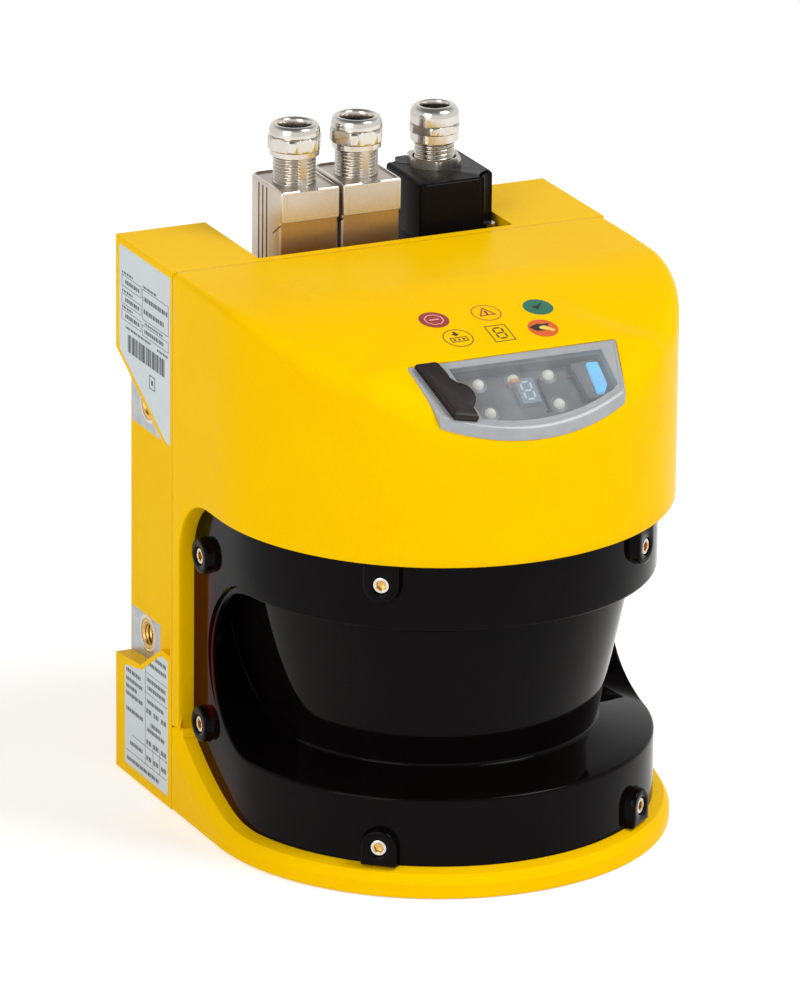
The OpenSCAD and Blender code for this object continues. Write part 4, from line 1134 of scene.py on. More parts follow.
def build_flap():
    """Flap over the service socket: a flat tab with a round bulge, all in one soft-edged piece."""
    arc = [(5.45 * math.cos(math.radians(t)), 5.45 * math.sin(math.radians(t))) for t in range(76, -52, -8)]
    corners = rounded_outline([(-10.2, 14.1), (-3.0, 14.1), (-0.6, 8.2)], [0.3, 0.8, 2.0], 4)
    foot = rounded_outline([(3.2, -5.4), (3.6, -9.3), (-4.3, -7.3)], [0.8, 0.7, 0.3], 4)
    outline = [Vector((x + SOCKET_X, y + SOCKET_Y)) for x, y in corners + arc + foot]
    middle_of = sum(outline, Vector((0, 0))) / len(outline)
    shape = Shape()
    rings = []
    for shrink, z in ((0, 0.1), (0, 1.7), (0.12, 2.05), (0.35, 2.25), (0.7, 2.38), (1.6, 2.46)):
        rings.append([Vector((*(p + (middle_of - p).normalized() * shrink), z)) for p in outline])
    made = shape.skins(rings)
    shape.lid(made[0][::-1])
    shape.lid(made[-1])
    finish = grained("cap_rubber", (0.020, 0.012, 0.011), (0.014, 0.009, 0.008), 1000.0, 60.0, (0.34, 0.44),
                     0.00002,
                     Specular_IOR_Level=0.22)
    add("service_flap", shape.mesh("service_flap", face_place(), 26), finish, body="flap", like="cap_rubber",
        stands_for=("service_cap",))


def build_display():
    place = face_place()
    rim = Shape()
    rings = [at_depth(pane_loop(0.0, -3.0), -3.0), at_depth(pane_loop(0.0, -0.5), -0.5),
             at_depth(pane_loop(0.12, -0.15), -0.15), at_depth(pane_loop(0.45, 0.0), 0.0),
             at_depth(pane_loop(1.3, 0.0), 0.0), at_depth(pane_loop(1.6, 0.0), -0.22),
             at_depth(window_loop(0.25), -0.22), at_depth(window_loop(0.0), -0.5), at_depth(window_loop(0.0),
                                                                                            -3.0)]
    made = rim.skins(rings)
    rim.skin(made[-1], made[0])
    pane = add("pane_rim", rim.mesh("pane_rim", place, 32), pane_finish(), like="display_pane",
               stands_for=("display_pane",))
    carve(pane, [socket_hole(place)])
    clear = Shape()
    low = clear.ring(at_depth(window_loop(-0.02), -1.6))
    high = clear.ring(at_depth(window_loop(-0.02), -0.45))
    clear.skin(low, high)
    clear.lid(low[::-1])
    clear.lid(high)
    window = add("pane_window", clear.mesh("pane_window", place), window_finish(), like="display_pane")
    carve(window, [socket_hole(place)])
    tray = Shape()
    loops = [at_depth(window_loop(0.6), -3.05), at_depth(window_loop(0.0), -3.05),
             at_depth(window_loop(-0.3), -7.4)]
    made = tray.skins(loops)
    tray.fan(made[-1], (6, -14, -7.4))
    tray_mesh = tray.mesh("display_tray", place, 30)
    add("display_tray", tray_mesh, tray_finish(), like="circuit_board")
    detail_display(place)
    soften("service_socket", 0.0003, 3)
    dress("service_socket", rubber())
    build_flap()
    dress("display_board", tray_finish())


def detail_display(place):
    """Lamps, digit, insert and the small parts round them."""
    # Lamps and their halos carry a painted glow from their emission.
    for number, (x, y) in enumerate([(-11.7, -6.5), (0.6, -6.5), (12.9, -6.5), (12.6, -17.8),
                                     (-11.6, -17.8)]):
        profile = [(1.9, BOARD_Z), (1.85, -6.9), (1.6, -6.35), (1.15, -5.85), (0.6, -5.6), (0.15, -5.52)]
        mesh = turned(profile, 32, place @ Matrix.Translation((x, y, 0)), "status_lamp", 50)
        add("status_lamp_%d" % number, mesh, painted_glow("lamp_lens", (0.80, 0.79, 0.70), 0.35), like="lamp_lens",
            stands_for=("status_lamps",) if number == 0 else ())
        halo = turned([(3.2, BOARD_Z), (3.0, -7.3), (1.95, -7.2), (1.9, BOARD_Z)], 32,
                      place @ Matrix.Translation((x, y, 0)), "lamp_halo", 50)
        add("lamp_halo_%d" % number, halo, painted_glow("lamp_halo", (0.24, 0.245, 0.25), 0.10), like="lamp_lens")
    across, down = 3.0, -12.4
    block = rounded_outline([(across - 3.2, down - 4.75), (across + 3.2, down - 4.75),
                             (across + 3.2, down + 4.75), (across - 3.2, down + 4.75)], 0.3)
    # The digit's block and bars carry a painted glow from their emission.
    add("digit_block", prism(block, BOARD_Z, -5.2, place, "digit_block"),
        painted_glow("digit_face", (0.23, 0.33, 0.42), 0.12), like="digit_face", stands_for=("digit_display",))
    for number, bar in enumerate(digit_bars((across, down), 1.65, 3.3, 2.5, 2.6, 0.34)):
        add("digit_bar_%d" % number, prism(bar, -5.2, -5.08, place, "digit_bar"),
            painted_glow("digit_bar", (0.60, 0.70, 0.76), 0.30), like="digit_face")
    frame_line = [(7.4, -20.2), (9.0, -20.2), (9.0, -7.6), (8.5, -7.6), (8.5, -19.7), (7.4, -19.7)]
    add("board_line", prism(frame_line, BOARD_Z, -6.6, place, "board_line"),
        grained("board_line", (0.055, 0.057, 0.075), (0.04, 0.042, 0.055), 900.0, 90.0, (0.4, 0.5), 0.0),
        like="circuit_board")
    # Painted glow on the orange piece.
    orange = rounded_outline([(-1.4, -8.7), (1.5, -8.7), (1.5, -7.4), (-1.4, -7.4)], 0.2)
    add("orange_piece", prism(orange, BOARD_Z, -5.0, place, "orange_piece"),
        painted_glow("orange_piece", (0.80, 0.33, 0.05), 0.12), like="lamp_lens")
    # Painted shade: a near-black strip along the left foot of the raised insert, standing in for the dark slot beside
    # it.
    slot = [(19.9, -4.6), (21.2, -4.8), (21.5, -18.2), (21.0, -18.4)]
    add("board_slot_shade", prism(slot, -7.4, -6.3, place, "board_slot_shade"),
        grained("board_slot_shade", (0.012, 0.012, 0.014), (0.008, 0.008, 0.01), 900.0, 90.0, (0.5, 0.6), 0.0),
        like="circuit_board")
    raised = rounded_outline([(20.4, -4.9), (29.9, -4.7), (30.2, -15.2), (28.6, -18.4), (21.9, -19.2)], 0.8)
    add("insert_step", prism(raised, BOARD_Z, -4.6, place, "insert_step"),
        grained("insert_step", (0.10, 0.10, 0.125), (0.075, 0.075, 0.095), 1200.0, 90.0, (0.4, 0.55),
                0.00002),
        like="circuit_board")
    # Painted glow: the blue insert gives off light through its emission.
    blue = rounded_outline([(25.4, -6.2), (29.3, -6.4), (29.4, -15.2), (27.6, -18.0), (25.2, -18.0)], 0.5)
    add("blue_insert", prism(blue, -4.6, -3.4, place, "blue_insert"),
        painted_glow("blue_plastic", (0.05, 0.42, 0.78), 1.2), like="blue_plastic", stands_for=("display_insert",))
    for number, (x, y, r) in enumerate([(23.6, -20.3, 0.9), (25.2, -20.8, 0.6), (20.4, -21.0, 0.5),
                                        (19.6, -8.4, 0.6)]):
        spot = turned([(r, -6.8), (r * 0.8, -6.4), (r * 0.3, -6.3)], 20,
                      place @ Matrix.Translation((x, y, 0)), "red_mark", 50)
        add("red_mark_%d" % number, spot, grained("red_mark", (0.30, 0.05, 0.05), (0.2, 0.03, 0.03), 900.0,
                                                  90.0,
                                                  (0.4, 0.5), 0.0), like="lamp_lens")


# ---------- printed signs on the hood ----------

def sign_ink(name, tone):
    return grained(name, tone, [v * 0.88 for v in tone], 1100.0, 60.0, (0.30, 0.38), 0.00001)


def sign_mesh(outline, at, lift=1.0, holes=None):
    """Flat printed shape laid on the hood at (x, y): a ring where holes is an inner outline."""
    raise_by = sizes().print_lift / MM * lift

    def on_hood(p, up):
        x, y = at[0] + p[0], at[1] + p[1]
        return Vector((x, y, hood_height(x, y) + up))

    shape = Shape()
    if holes:
        rings = [[on_hood(p, raise_by) for p in outline], [on_hood(p, raise_by) for p in holes]]
        top = shape.skins(rings)
        low = shape.skins([[on_hood(p, -0.05) for p in outline], [on_hood(p, -0.05) for p in holes]])
        shape.skin(top[0], low[0])
        shape.skin(top[1], low[1])
    else:
        centre = Vector((sum(p[0] for p in outline) / len(outline),
                         sum(p[1] for p in outline) / len(outline)))
        rings = [[on_hood(centre + (Vector(p[:2]) - centre) * share, raise_by) for p in outline]
                 for share in (1.0, 0.66, 0.33)]
        made = shape.skins(rings)
        shape.fan(made[-1], on_hood(centre, raise_by))
        low = shape.ring([on_hood(p, -0.05) for p in outline])
        shape.skin(made[0], low)
        shape.fan(low, on_hood(centre, -0.05))
    return shape.mesh("sign", None, 30, 0.0005)


def disc(radius, count=64):
    return [(radius * math.cos(math.tau * i / count),
             radius * math.sin(math.tau * i / count)) for i in range(count)]


def many_sided(radius, sides, turn=0.0, steps=8):
    """Regular polygon with points along its sides, so that it bends with the hood."""
    corners = [(radius * math.cos(turn + math.tau * i / sides),
                radius * math.sin(turn + math.tau * i / sides))
               for i in range(sides)]
    out = []
    for i in range(sides):
        a, b = Vector(corners[i]), Vector(corners[(i + 1) % sides])
        out += [tuple(a.lerp(b, k / steps)) for k in range(steps)]
    return out


def finer(points, steps=4):
    out = []
    for i, p in enumerate(points):
        a, b = Vector(p), Vector(points[(i + 1) % len(points)])
        out += [tuple(a.lerp(b, k / steps)) for k in range(steps)]
    return out


def build_signs():
    red = sign_ink("sign_red", (0.36, 0.018, 0.014))
    pale = sign_ink("sign_pale_red", (0.80, 0.42, 0.34))
    brown = sign_ink("sign_brown", (0.45, 0.06, 0.012))
    green = sign_ink("sign_green", (0.006, 0.155, 0.085))
    orange = sign_ink("sign_orange", (0.76, 0.12, 0.008))
    dark = sign_ink("sign_black", (0.018, 0.012, 0.008))
    cream = sign_ink("sign_cream", (0.90, 0.62, 0.10))
    count = 0

    def lay(mat, outline, at, lift=1.0, holes=None):
        nonlocal count
        add("sign_%02d" % count, sign_mesh(outline, at, lift, holes), mat, like="yellow_paint")
        count += 1

    r = 4.95
    at = (-16.4, -33.3)
    lay(red, disc(r), at)
    lay(pale, many_sided(3.35, 8, math.pi / 8), at, 2.0, many_sided(2.95, 8, math.pi / 8))
    lay(pale, finer([(-1.7, -0.32), (1.7, -0.32), (1.7, 0.32), (-1.7, 0.32)]), at, 2.0)
    at = (2.0, -33.3)
    lay(brown, disc(r), at, 1.0, disc(r - 0.35))
    lay(brown, many_sided(3.5, 3, math.pi / 2), at, 1.5, many_sided(2.55, 3, math.pi / 2))
    lay(dark, finer([(-0.28, -0.55), (0.28, -0.55), (0.34, 1.1), (-0.34, 1.1)]), at, 2.0)
    lay(dark, disc(0.32, 16), (at[0], at[1] - 0.95), 2.0)
    at = (20.1, -34.0)
    lay(green, disc(r), at)
    lay(dark, finer([(-2.0, 0.3), (-0.6, -1.5), (2.2, 2.1), (1.85, 2.3), (-0.6, -0.6), (-1.6, 0.75)]), at,
        2.0)
    at = (-13.6, -45.4)
    lay(dark, disc(r), at, 1.0, disc(r - 0.28))
    lay(dark, finer([(-2.9, -2.2), (2.9, -2.2), (2.9, 0.3), (-2.9, 0.3)], 8), at, 1.5,
        finer([(-2.65, -1.95), (2.65, -1.95), (2.65, 0.05), (-2.65, 0.05)], 8))
    lay(dark, finer([(-0.45, 3.6), (0.45, 3.6), (0.45, 2.3), (1.3, 2.3), (0, 1.0), (-1.3, 2.3),
                     (-0.45, 2.3)]), at, 1.5)
    for x in (-1.6, 0, 1.6):
        lay(dark, finer([(x - 0.4, -1.35), (x + 0.4, -1.35), (x + 0.4, -0.6), (x - 0.4, -0.6)], 3), at, 1.5)
    at = (1.0, -45.8)
    lay(dark, finer([(-3.6, -4.6), (3.6, -4.6), (3.6, 4.6), (-3.6, 4.6)], 10), at, 1.0,
        finer([(-3.3, -4.3), (3.3, -4.3), (3.3, 4.3), (-3.3, 4.3)], 10))
    for bar in digit_bars((0, 0), 1.5, 2.9, 2.4, 2.3, 0.27):
        lay(dark, finer(bar, 3), at, 1.5)
    at = (15.9, -46.3)
    lay(orange, disc(r), at)
    lay(dark, finer([(-4.3, 1.3), (-2.6, -1.2), (0.3, -1.5), (3.2, 2.2), (0.6, 2.0), (-1.0, 2.6)]), at, 2.0)
    lay(cream, finer([(-0.7, 0.9), (0.9, 1.1), (2.2, -0.2), (3.6, -1.9), (2.5, -2.6), (1.2, -1.5),
                      (-0.3, -1.0),
                      (-1.3, 0.1)]), at, 3.0)


# ---------- glands and nuts ----------

def hexagon_reach(angle, apothem, turn=0.0):
    """Distance from the middle to a hexagon's side; its corners lie at the turn and every sixth of a circle."""
    return apothem / math.cos((angle - turn) % (math.pi / 3) - math.pi / 6)


def lathe_with_flats(rows, apothem, turn, place, name, count=120, sharp=24):
    """Turned body whose rows marked True are cut by a hexagon."""
    shape = Shape()
    rings = []
    for r, z, cut in rows:
        ring = []
        for i in range(count):
            angle = math.tau * i / count + turn
            reach = min(r, hexagon_reach(angle, apothem, turn)) if cut else r
            ring.append(Vector((reach * math.cos(angle), reach * math.sin(angle), z)))
        rings.append(ring)
    made = shape.skins(rings)
    shape.skin(made[-1], made[0])
    return shape.mesh(name, place, sharp)


def crown(low_r, low_z, top_r, top_z, steps=9, power=2.3):
    """Rows of a rounded crown from its foot to the flat of its top."""
    rows = []
    for k in range(1, steps + 1):
        t = math.pi / 2 * k / steps
        rows.append((top_r + (low_r - top_r) * math.cos(t) ** (2 / power),
                     low_z + (top_z - low_z) * math.sin(t) ** (2 / power), False))
    return rows


def bus_nut_rows():
    rows = [(7.4, 0.3, False), (7.6, 0.0, False), (7.95, 0.0, False), (8.2, 0.25, False), (8.2, 1.95, False),
            (8.0, 2.1, False), (8.45, 2.2, True), (8.95, 2.42, True), (9.33, 2.85, True), (9.33, 6.0, True),
            (8.95, 6.5, True), (8.5, 6.75, True), (8.15, 6.85, False), (8.3, 6.95, False), (8.42, 7.2, False)]
    rows += crown(8.42, 7.4, 6.6, 10.58)
    rows += [(6.2, 10.5, False), (5.85, 10.25, False), (5.6, 9.9, False), (5.45, 9.3, False),
             (5.35, 8.6, False),
             (5.3, 7.0, False), (7.3, 6.9, False)]
    return rows


def system_nut_rows():
    rows = [(7.0, 0.3, False), (7.2, 0.0, False), (7.8, 0.0, False), (8.05, 0.25, False), (8.05, 3.0, False),
            (7.9, 3.12, False), (8.35, 3.2, True), (8.85, 3.4, True), (9.02, 3.6, True), (9.02, 5.6, True),
            (8.85, 5.85, True), (8.35, 6.0, True), (7.95, 6.08, False), (8.1, 6.2, False), (8.15, 8.4, False)]
    rows += crown(8.15, 8.5, 5.5, 11.95, 10, 2.1)
    rows += [(5.2, 11.9, False), (4.95, 11.7, False), (4.8, 11.3, False), (4.72, 10.2, False),
             (4.7, 8.0, False),
             (6.9, 7.8, False)]
    return rows


def threaded_sleeve(radius, low, high, pitch, depth, inner, place, flat_at=None, flat_half=1.45, count=96):
    """Sleeve with an outer thread that rises with the pitch; a smooth flat may run down it."""
    shape = Shape()
    steps = max(8, round((high - low) / pitch * 9))
    rings = []
    for k in range(steps + 1):
        z = low + (high - low) * k / steps
        ring = []
        for i in range(count):
            angle = math.tau * i / count
            phase = z / pitch - i / count
            r = radius - depth * (0.5 + 0.5 * math.cos(math.tau * phase)) ** 1.5
            if flat_at is not None:
                off = (angle - flat_at + math.pi) % math.tau - math.pi
                if abs(off) < math.asin(flat_half / radius):
                    r = (radius - 0.22) * math.cos(flat_half / radius * 0.6) / math.cos(off)
            ring.append(Vector((r * math.cos(angle), r * math.sin(angle), z)))
        rings.append(ring)
    made = shape.skins(rings)
    top = shape.ring(circle(inner, count, high))
    low_ring = shape.ring(circle(inner, count, low))
    shape.skin(made[-1], top)
    shape.skin(top, low_ring)
    shape.skin(low_ring, made[0])
    return shape.mesh("thread", place, 40)


def seal_ring(outer, inner, low, high, place):
    rows = [(outer, low), (outer, high - 0.3), (outer - 0.3, high), (inner + 0.3, high), (inner, high - 0.4),
            (inner, low)]
    shape = Shape()
    made = shape.skins([circle(r, 64, z) for r, z in rows])
    shape.skin(made[-1], made[0])
    return shape.mesh("seal", place, 40)


BUS_PLACES, BUS_AXIS_Y = (-23.9, -1.7), 57.5
BUS_LOW_Z, BUS_TOP_Z, BUS_HEAD = 145.0, 203.5, 10.5
BUS_NUT_Z, BUS_HALF_W, BUS_HALF_D = 212.1, 10.5, 13.0
SYSTEM_X, GLAND_Y, SYSTEM_TOP_Z, SYSTEM_NUT_Z = 30.3, 65.58, 200.0, 208.4


def build_glands():
    names = {True: ("bus_glands", "bus_dome_nuts", "bus_seals"), False: ()}
    metal = nickel()
    for number, x in enumerate(BUS_PLACES):
        place = Matrix.Translation((x, BUS_AXIS_Y, 0))
        owns = names[number == 0]
        add("bus_thread_%d" % number,
            threaded_sleeve(7.15, BUS_TOP_Z - 0.55, BUS_NUT_Z + 1.4, 1.18, 0.55, 6.1, place, -math.pi / 2),
            polished("thread_metal", (0.60, 0.56, 0.50), (0.46, 0.42, 0.37), 0.16, 0.30), like="nickel_plate",
            stands_for=owns[:1])
        add("bus_nut_%d" % number,
            lathe_with_flats(bus_nut_rows(), 8.5, 0.0, place @ Matrix.Translation((0, 0, BUS_NUT_Z)),
                             "bus_nut"),
            metal, like="nickel_plate", stands_for=owns[1:2])
        add("bus_seal_%d" % number, seal_ring(6.0, 5.15, BUS_TOP_Z + 1, BUS_NUT_Z + 7.4, place), rubber(),
            like="black_rubber", stands_for=owns[2:])
    place = Matrix.Translation((SYSTEM_X, GLAND_Y, 0))
    add("system_thread", threaded_sleeve(6.75, SYSTEM_TOP_Z - 0.5, SYSTEM_NUT_Z + 1.4, 1.5, 0.75, 5.7, place),
        polished("thread_metal", (0.60, 0.56, 0.50), (0.46, 0.42, 0.37)), like="nickel_plate",
        stands_for=("system_gland",))
    add("system_nut",
        lathe_with_flats(system_nut_rows(), 8.2, math.radians(4),
                         place @ Matrix.Translation((0, 0, SYSTEM_NUT_Z)),
                         "system_nut"), metal, like="nickel_plate", stands_for=("system_dome_nut",))
    rows = [(7.0, 0.35, False), (7.2, 0.02, False), (9.2, 0.02, True), (9.46, 0.2, True), (9.46, 2.7, True),
            (9.0, 2.98, True), (7.6, 2.98, False), (7.2, 2.6, False)]
    add("system_lock_nut_shape",
        lathe_with_flats(rows, 8.2, math.radians(14), place @ Matrix.Translation((0, 0, SYSTEM_TOP_Z)),
                         "lock_nut"),
        polished("turned_nickel", (0.56, 0.52, 0.46), (0.42, 0.39, 0.34), 0.24, 0.36), like="nickel_plate",
        stands_for=("system_lock_nut",))
    add("system_seal_ring", seal_ring(5.6, 4.72, SYSTEM_TOP_Z + 1, SYSTEM_NUT_Z + 9.0, place), rubber(),
        like="black_rubber", stands_for=("system_seal",))


# ---------- fieldbus plugs ----------

def bus_outline(shrink=0.0, radii=(0.9, 0.9, 2.4, 3.6), steps=5, front=0.0):
    """Plan of a plug: front left, front right, rear right and rear left corner radii."""
    w, d = BUS_HALF_W - shrink, BUS_HALF_D - shrink
    corners = [(-w, -d + front), (w, -d + front), (w, d), (-w, d)]
    out = []
    for (cx, cy), r, first in zip(corners, radii, (180, 270, 0, 90)):
        r = max(0.2, r - shrink)
        ax, ay = cx - math.copysign(r, cx), cy - math.copysign(r, cy)
        for k in range(steps + 1):
            turn = math.radians(first + 90 * k / steps)
            out.append((ax + r * math.cos(turn), ay + r * math.sin(turn)))
    return out


def box_cut(x0, x1, y0, y1, z0, z1, place):
    return prism([(x0, y0), (x1, y0), (x1, y1), (x0, y1)], z0, z1, place, "cut")


def plug_metals():
    c = colours().plug
    head = plug_metal()
    # Painted shade and reflection: a darker, warmer copy of the plug metal for the front faces below the head's step.
    shaded_warm_metal = grained("plug_metal_painted_shade", (c[0] * 0.74, c[1] * 0.60, c[2] * 0.42),
                     (c[0] * 0.6, c[1] * 0.47, c[2] * 0.3),
                     1500.0, 60.0, (0.34, 0.44), 0.000025, Metallic=1.0)
    bright = polished("bright_edge", (0.80, 0.77, 0.72), (0.62, 0.59, 0.54), 0.16, 0.28)
    return head, shaded_warm_metal, bright


def build_bus_plugs():
    head, shaded_warm_metal, bright = plug_metals()
    step_z = BUS_TOP_Z - BUS_HEAD
    for number, x in enumerate(BUS_PLACES):
        place = Matrix.Translation((x, BUS_AXIS_Y, 0))
        edge = sizes().plug_edge / MM
        shape = Shape()
        rings = []
        rows = [(0.35, BUS_LOW_Z, 1.3), (0.0, BUS_LOW_Z + 0.35, 1.3), (0.0, step_z - 0.3, 1.3),
                (0.0, step_z - 0.05, 1.3), (0.0, step_z - 0.05, 0.25), (0.0, step_z + 0.15, 0.0),
                (0.0, BUS_TOP_Z - edge, 0.0), (edge * 0.12, BUS_TOP_Z - edge * 0.5, 0.0),
                (edge * 0.45, BUS_TOP_Z - edge * 0.12, 0.0), (edge, BUS_TOP_Z, 0.0), (1.0, BUS_TOP_Z, 0.0),
                (1.08, BUS_TOP_Z - 0.6, 0.0)]
        for shrink, z, front in rows:
            rings.append([(px, py, z) for px, py in bus_outline(shrink, front=front)])
        made = shape.skins(rings)
        shape.kinds = [2 if i // len(rings[0]) in (8, 9) else 0 for i in range(len(shape.faces))]
        shape.lid(made[0][::-1])
        shape.lid(made[-1])
        obj = add("bus_plug_%d" % number, shape.mesh("bus_plug", place, 28), head, shaded_warm_metal, bright,
                  like="die_cast_metal",
                  stands_for=(("bus_plug_left", "bus_plug_right")[number],))
        cuts = [turned([(6.2, BUS_LOW_Z - 1), (6.2, BUS_TOP_Z + 1)], 48, place),
                box_cut(-3.8, 2.8, -BUS_HALF_D - 1, -BUS_HALF_D + 1.4, BUS_TOP_Z - 0.6, BUS_TOP_Z + 1, place),
                box_cut(-6.85, 6.85, -7.85, 7.85, BUS_LOW_Z - 1, BUS_LOW_Z + 10, place)]
        for side in (-1, 1):
            for y in (-1.5, 1.6, 4.7):
                a, b = sorted((side * (BUS_HALF_W - 0.6), side * (BUS_HALF_W + 1)))
                cuts.append(box_cut(a, b, y - 0.5, y + 0.5, BUS_LOW_Z + 6, BUS_TOP_Z - 1.2, place))
            slant = prism([(-0.35, 0), (0.35, 0), (0.35, 9.0), (-0.35, 9.0)], -0.6, 0.6)
            slant.transform(Matrix.Translation(Vector((x + side * BUS_HALF_W, BUS_AXIS_Y - BUS_HALF_D - 0.6,
                                                       step_z + 0.2)) * MM)
                            @ Matrix.Rotation(math.radians(-36), 4, "X")
                            @ Matrix.Rotation(math.radians(90), 4, "Y"))
            cuts.append(slant)
        carve(obj, cuts)
        # Front faces below the head's step take the darker, warmer copy: painted shade and reflection.
        for face in obj.data.polygons:
            middle_of = obj.data.vertices[face.vertices[0]].co
            if face.normal.y < -0.9 and middle_of.z < (step_z - 0.02) * MM:
                face.material_index = 1
        lines = [(-8.6, 8.9, BUS_TOP_Z - 9.3, BUS_TOP_Z - 9.15),
                 (-8.6, 8.9, BUS_TOP_Z - 1.35, BUS_TOP_Z - 1.2),
                 (-8.6, -8.45, BUS_TOP_Z - 9.3, BUS_TOP_Z - 1.2), (8.75, 8.9, BUS_TOP_Z - 9.3,
                                                                   BUS_TOP_Z - 1.2)]
        frame_shape = Shape()
        for x0, x1, z0, z1 in lines:
            ring = frame_shape.ring([(x0, -BUS_HALF_D - 0.02, z0), (x1, -BUS_HALF_D - 0.02, z0),
                                     (x1, -BUS_HALF_D - 0.02, z1), (x0, -BUS_HALF_D - 0.02, z1)])
            back = frame_shape.ring([(x0, -BUS_HALF_D + 0.3, z0), (x1, -BUS_HALF_D + 0.3, z0),
                                     (x1, -BUS_HALF_D + 0.3, z1), (x0, -BUS_HALF_D + 0.3, z1)])
            frame_shape.skin(ring, back)
            frame_shape.lid(ring)
            frame_shape.lid(back[::-1])
        add("bus_plug_frame_%d" % number, frame_shape.mesh("frame", place), bright,
            like="die_cast_metal")


# ---------- system plug ----------

SYSTEM_Y, SYSTEM_HALF_W, SYSTEM_HALF_D, SYSTEM_LOW_Z, SYSTEM_SEAT_Z = 61.5, 14.3, 17.0, 143.0, 181.0
NOTCH_R = 6.4


def corner_arc(middle_x, middle_y, radius, first, last, steps=8):
    turns = [math.radians(first + (last - first) * k / steps) for k in range(steps + 1)]
    return [(middle_x + radius * math.cos(t), middle_y + radius * math.sin(t)) for t in turns]


def notched_outline():
    """Plan of the plug above its screws: a round notch at the front right and the rear left corner."""
    w, d, r = SYSTEM_HALF_W, SYSTEM_HALF_D, 1.5
    bend = math.degrees(math.acos((NOTCH_R + 0.2) / (NOTCH_R + r + 0.6)))
    half = corner_arc(-w + 2.2, -d + 2.2, 2.2, 180, 270)
    half += corner_arc(w - NOTCH_R - r, -d + r, r, 270, 360 - bend)
    half += corner_arc(w + 0.6, -d - 0.6, NOTCH_R + 0.2, 172, 98, 12)
    half += corner_arc(w - r, -d + NOTCH_R + r, r, -90 + bend, 0)
    return half + [(-x, -y) for x, y in half]


def drawn_in(outline, amount):
    """Outline moved inward by an amount, square to its edge at each point."""
    out, count = [], len(outline)
    for i in range(count):
        a, b = Vector(outline[i - 1]), Vector(outline[(i + 1) % count])
        along = (b - a).normalized()
        out.append((outline[i][0] - along.y * amount, outline[i][1] + along.x * amount))
    return out


def build_system_plug():
    place = Matrix.Translation((SYSTEM_X, SYSTEM_Y, 0))
    shape = Shape()
    w, d = SYSTEM_HALF_W, SYSTEM_HALF_D
    full = rounded_outline([(-w, -d), (w, -d), (w, d), (-w, d)], 2.6, 6)
    made = shape.skins([[(x, y, z) for x, y in drawn_in(full, shrink)]
                        for shrink, z in ((0, SYSTEM_LOW_Z), (0, SYSTEM_SEAT_Z - 0.4),
                                          (0.12, SYSTEM_SEAT_Z - 0.1),
                                          (0.4, SYSTEM_SEAT_Z))])
    shape.lid(made[0][::-1])
    shape.lid(made[-1])
    outline, round_r = notched_outline(), 1.3
    rows = [(0.02, SYSTEM_SEAT_Z - 1.0), (0.02, SYSTEM_TOP_Z - round_r)]
    for k in range(1, 7):
        t = math.pi / 2 * k / 6
        rows.append((0.02 + round_r * (1 - math.cos(t)), SYSTEM_TOP_Z - round_r * (1 - math.sin(t))))
    made = shape.skins([[(x, y, z) for x, y in drawn_in(outline, shrink)] for shrink, z in rows])
    shape.lid(made[0][::-1])
    shape.lid(made[-1])
    add("system_plug_shell", shape.mesh("system_plug_shell", place, 34), black_plastic(), like="plug_plastic",
        stands_for=("system_plug",))
    dress("system_plug_screws", nickel())
    dress("system_socket", rubber())
    dress("bus_sockets", rubber())


# ---------- labels ----------

def side_block(shape, y0, y1, z0, z1, outer, inner):
    """Thin block on the left side, between two distances from the middle plane."""
    ring = shape.ring([(-outer, y0, z0), (-outer, y1, z0), (-outer, y1, z1), (-outer, y0, z1)])
    back = shape.ring([(-inner, y0, z0), (-inner, y1, z0), (-inner, y1, z1), (-inner, y0, z1)])
    shape.skin(ring, back)
    shape.lid(ring)
    shape.lid(back[::-1])


def side_plate(outline, outer, inner, name):
    """Plate with a (y, z) outline on the left side."""
    shape = Shape()
    ring = shape.ring([(-outer, y, z) for y, z in outline])
    back = shape.ring([(-inner, y, z) for y, z in outline])
    shape.skin(ring, back)
    shape.lid(ring)
    shape.lid(back[::-1])
    return shape.mesh(name)


def ruled_box(shape, y0, y1, z0, z1, wide=0.16):
    for a0, a1, b0, b1 in ((y0, y1, z0, z0 + wide), (y0, y1, z1 - wide, z1), (y0, y0 + wide, z0, z1),
                           (y1 - wide, y1, z0, z1)):
        side_block(shape, a0, a1, b0, b1, PRINT_X, PRINT_FOOT)


def dashes(shape, y0, y1, z, tall, pattern):
    """Row of short strokes that fills a line from the front end y1 back to y0."""
    place, index = y1, 0
    while place > y0:
        wide = min(pattern[index % len(pattern)], place - y0)
        side_block(shape, place - wide, place, z, z + tall, PRINT_X, PRINT_FOOT)
        place -= wide + pattern[(index + 1) % len(pattern)] * 0.7
        index += 1


FILM_X, PRINT_X, PRINT_FOOT = 77.38, 77.43, 77.36
TYPE_OUTLINE = [(36.0, 182.5), (77.5, 182.5), (77.5, 148.0), (76.0, 146.0), (39.0, 125.5), (36.0, 125.5)]
DATA_OUTLINE = [(37.5, 50.5), (43.0, 51.0), (59.0, 40.5), (73.0, 38.0), (73.0, 3.5), (37.5, 3.5)]


def label_film():
    c = colours().label
    return grained("label_film", c, [v * 0.93 for v in c], 1300.0, 60.0, (0.34, 0.44), 0.00001)


def label_ink():
    c = colours().ink
    return grained("label_ink", c, [v * 0.8 for v in c], 1300.0, 90.0, (0.4, 0.5), 0.0)


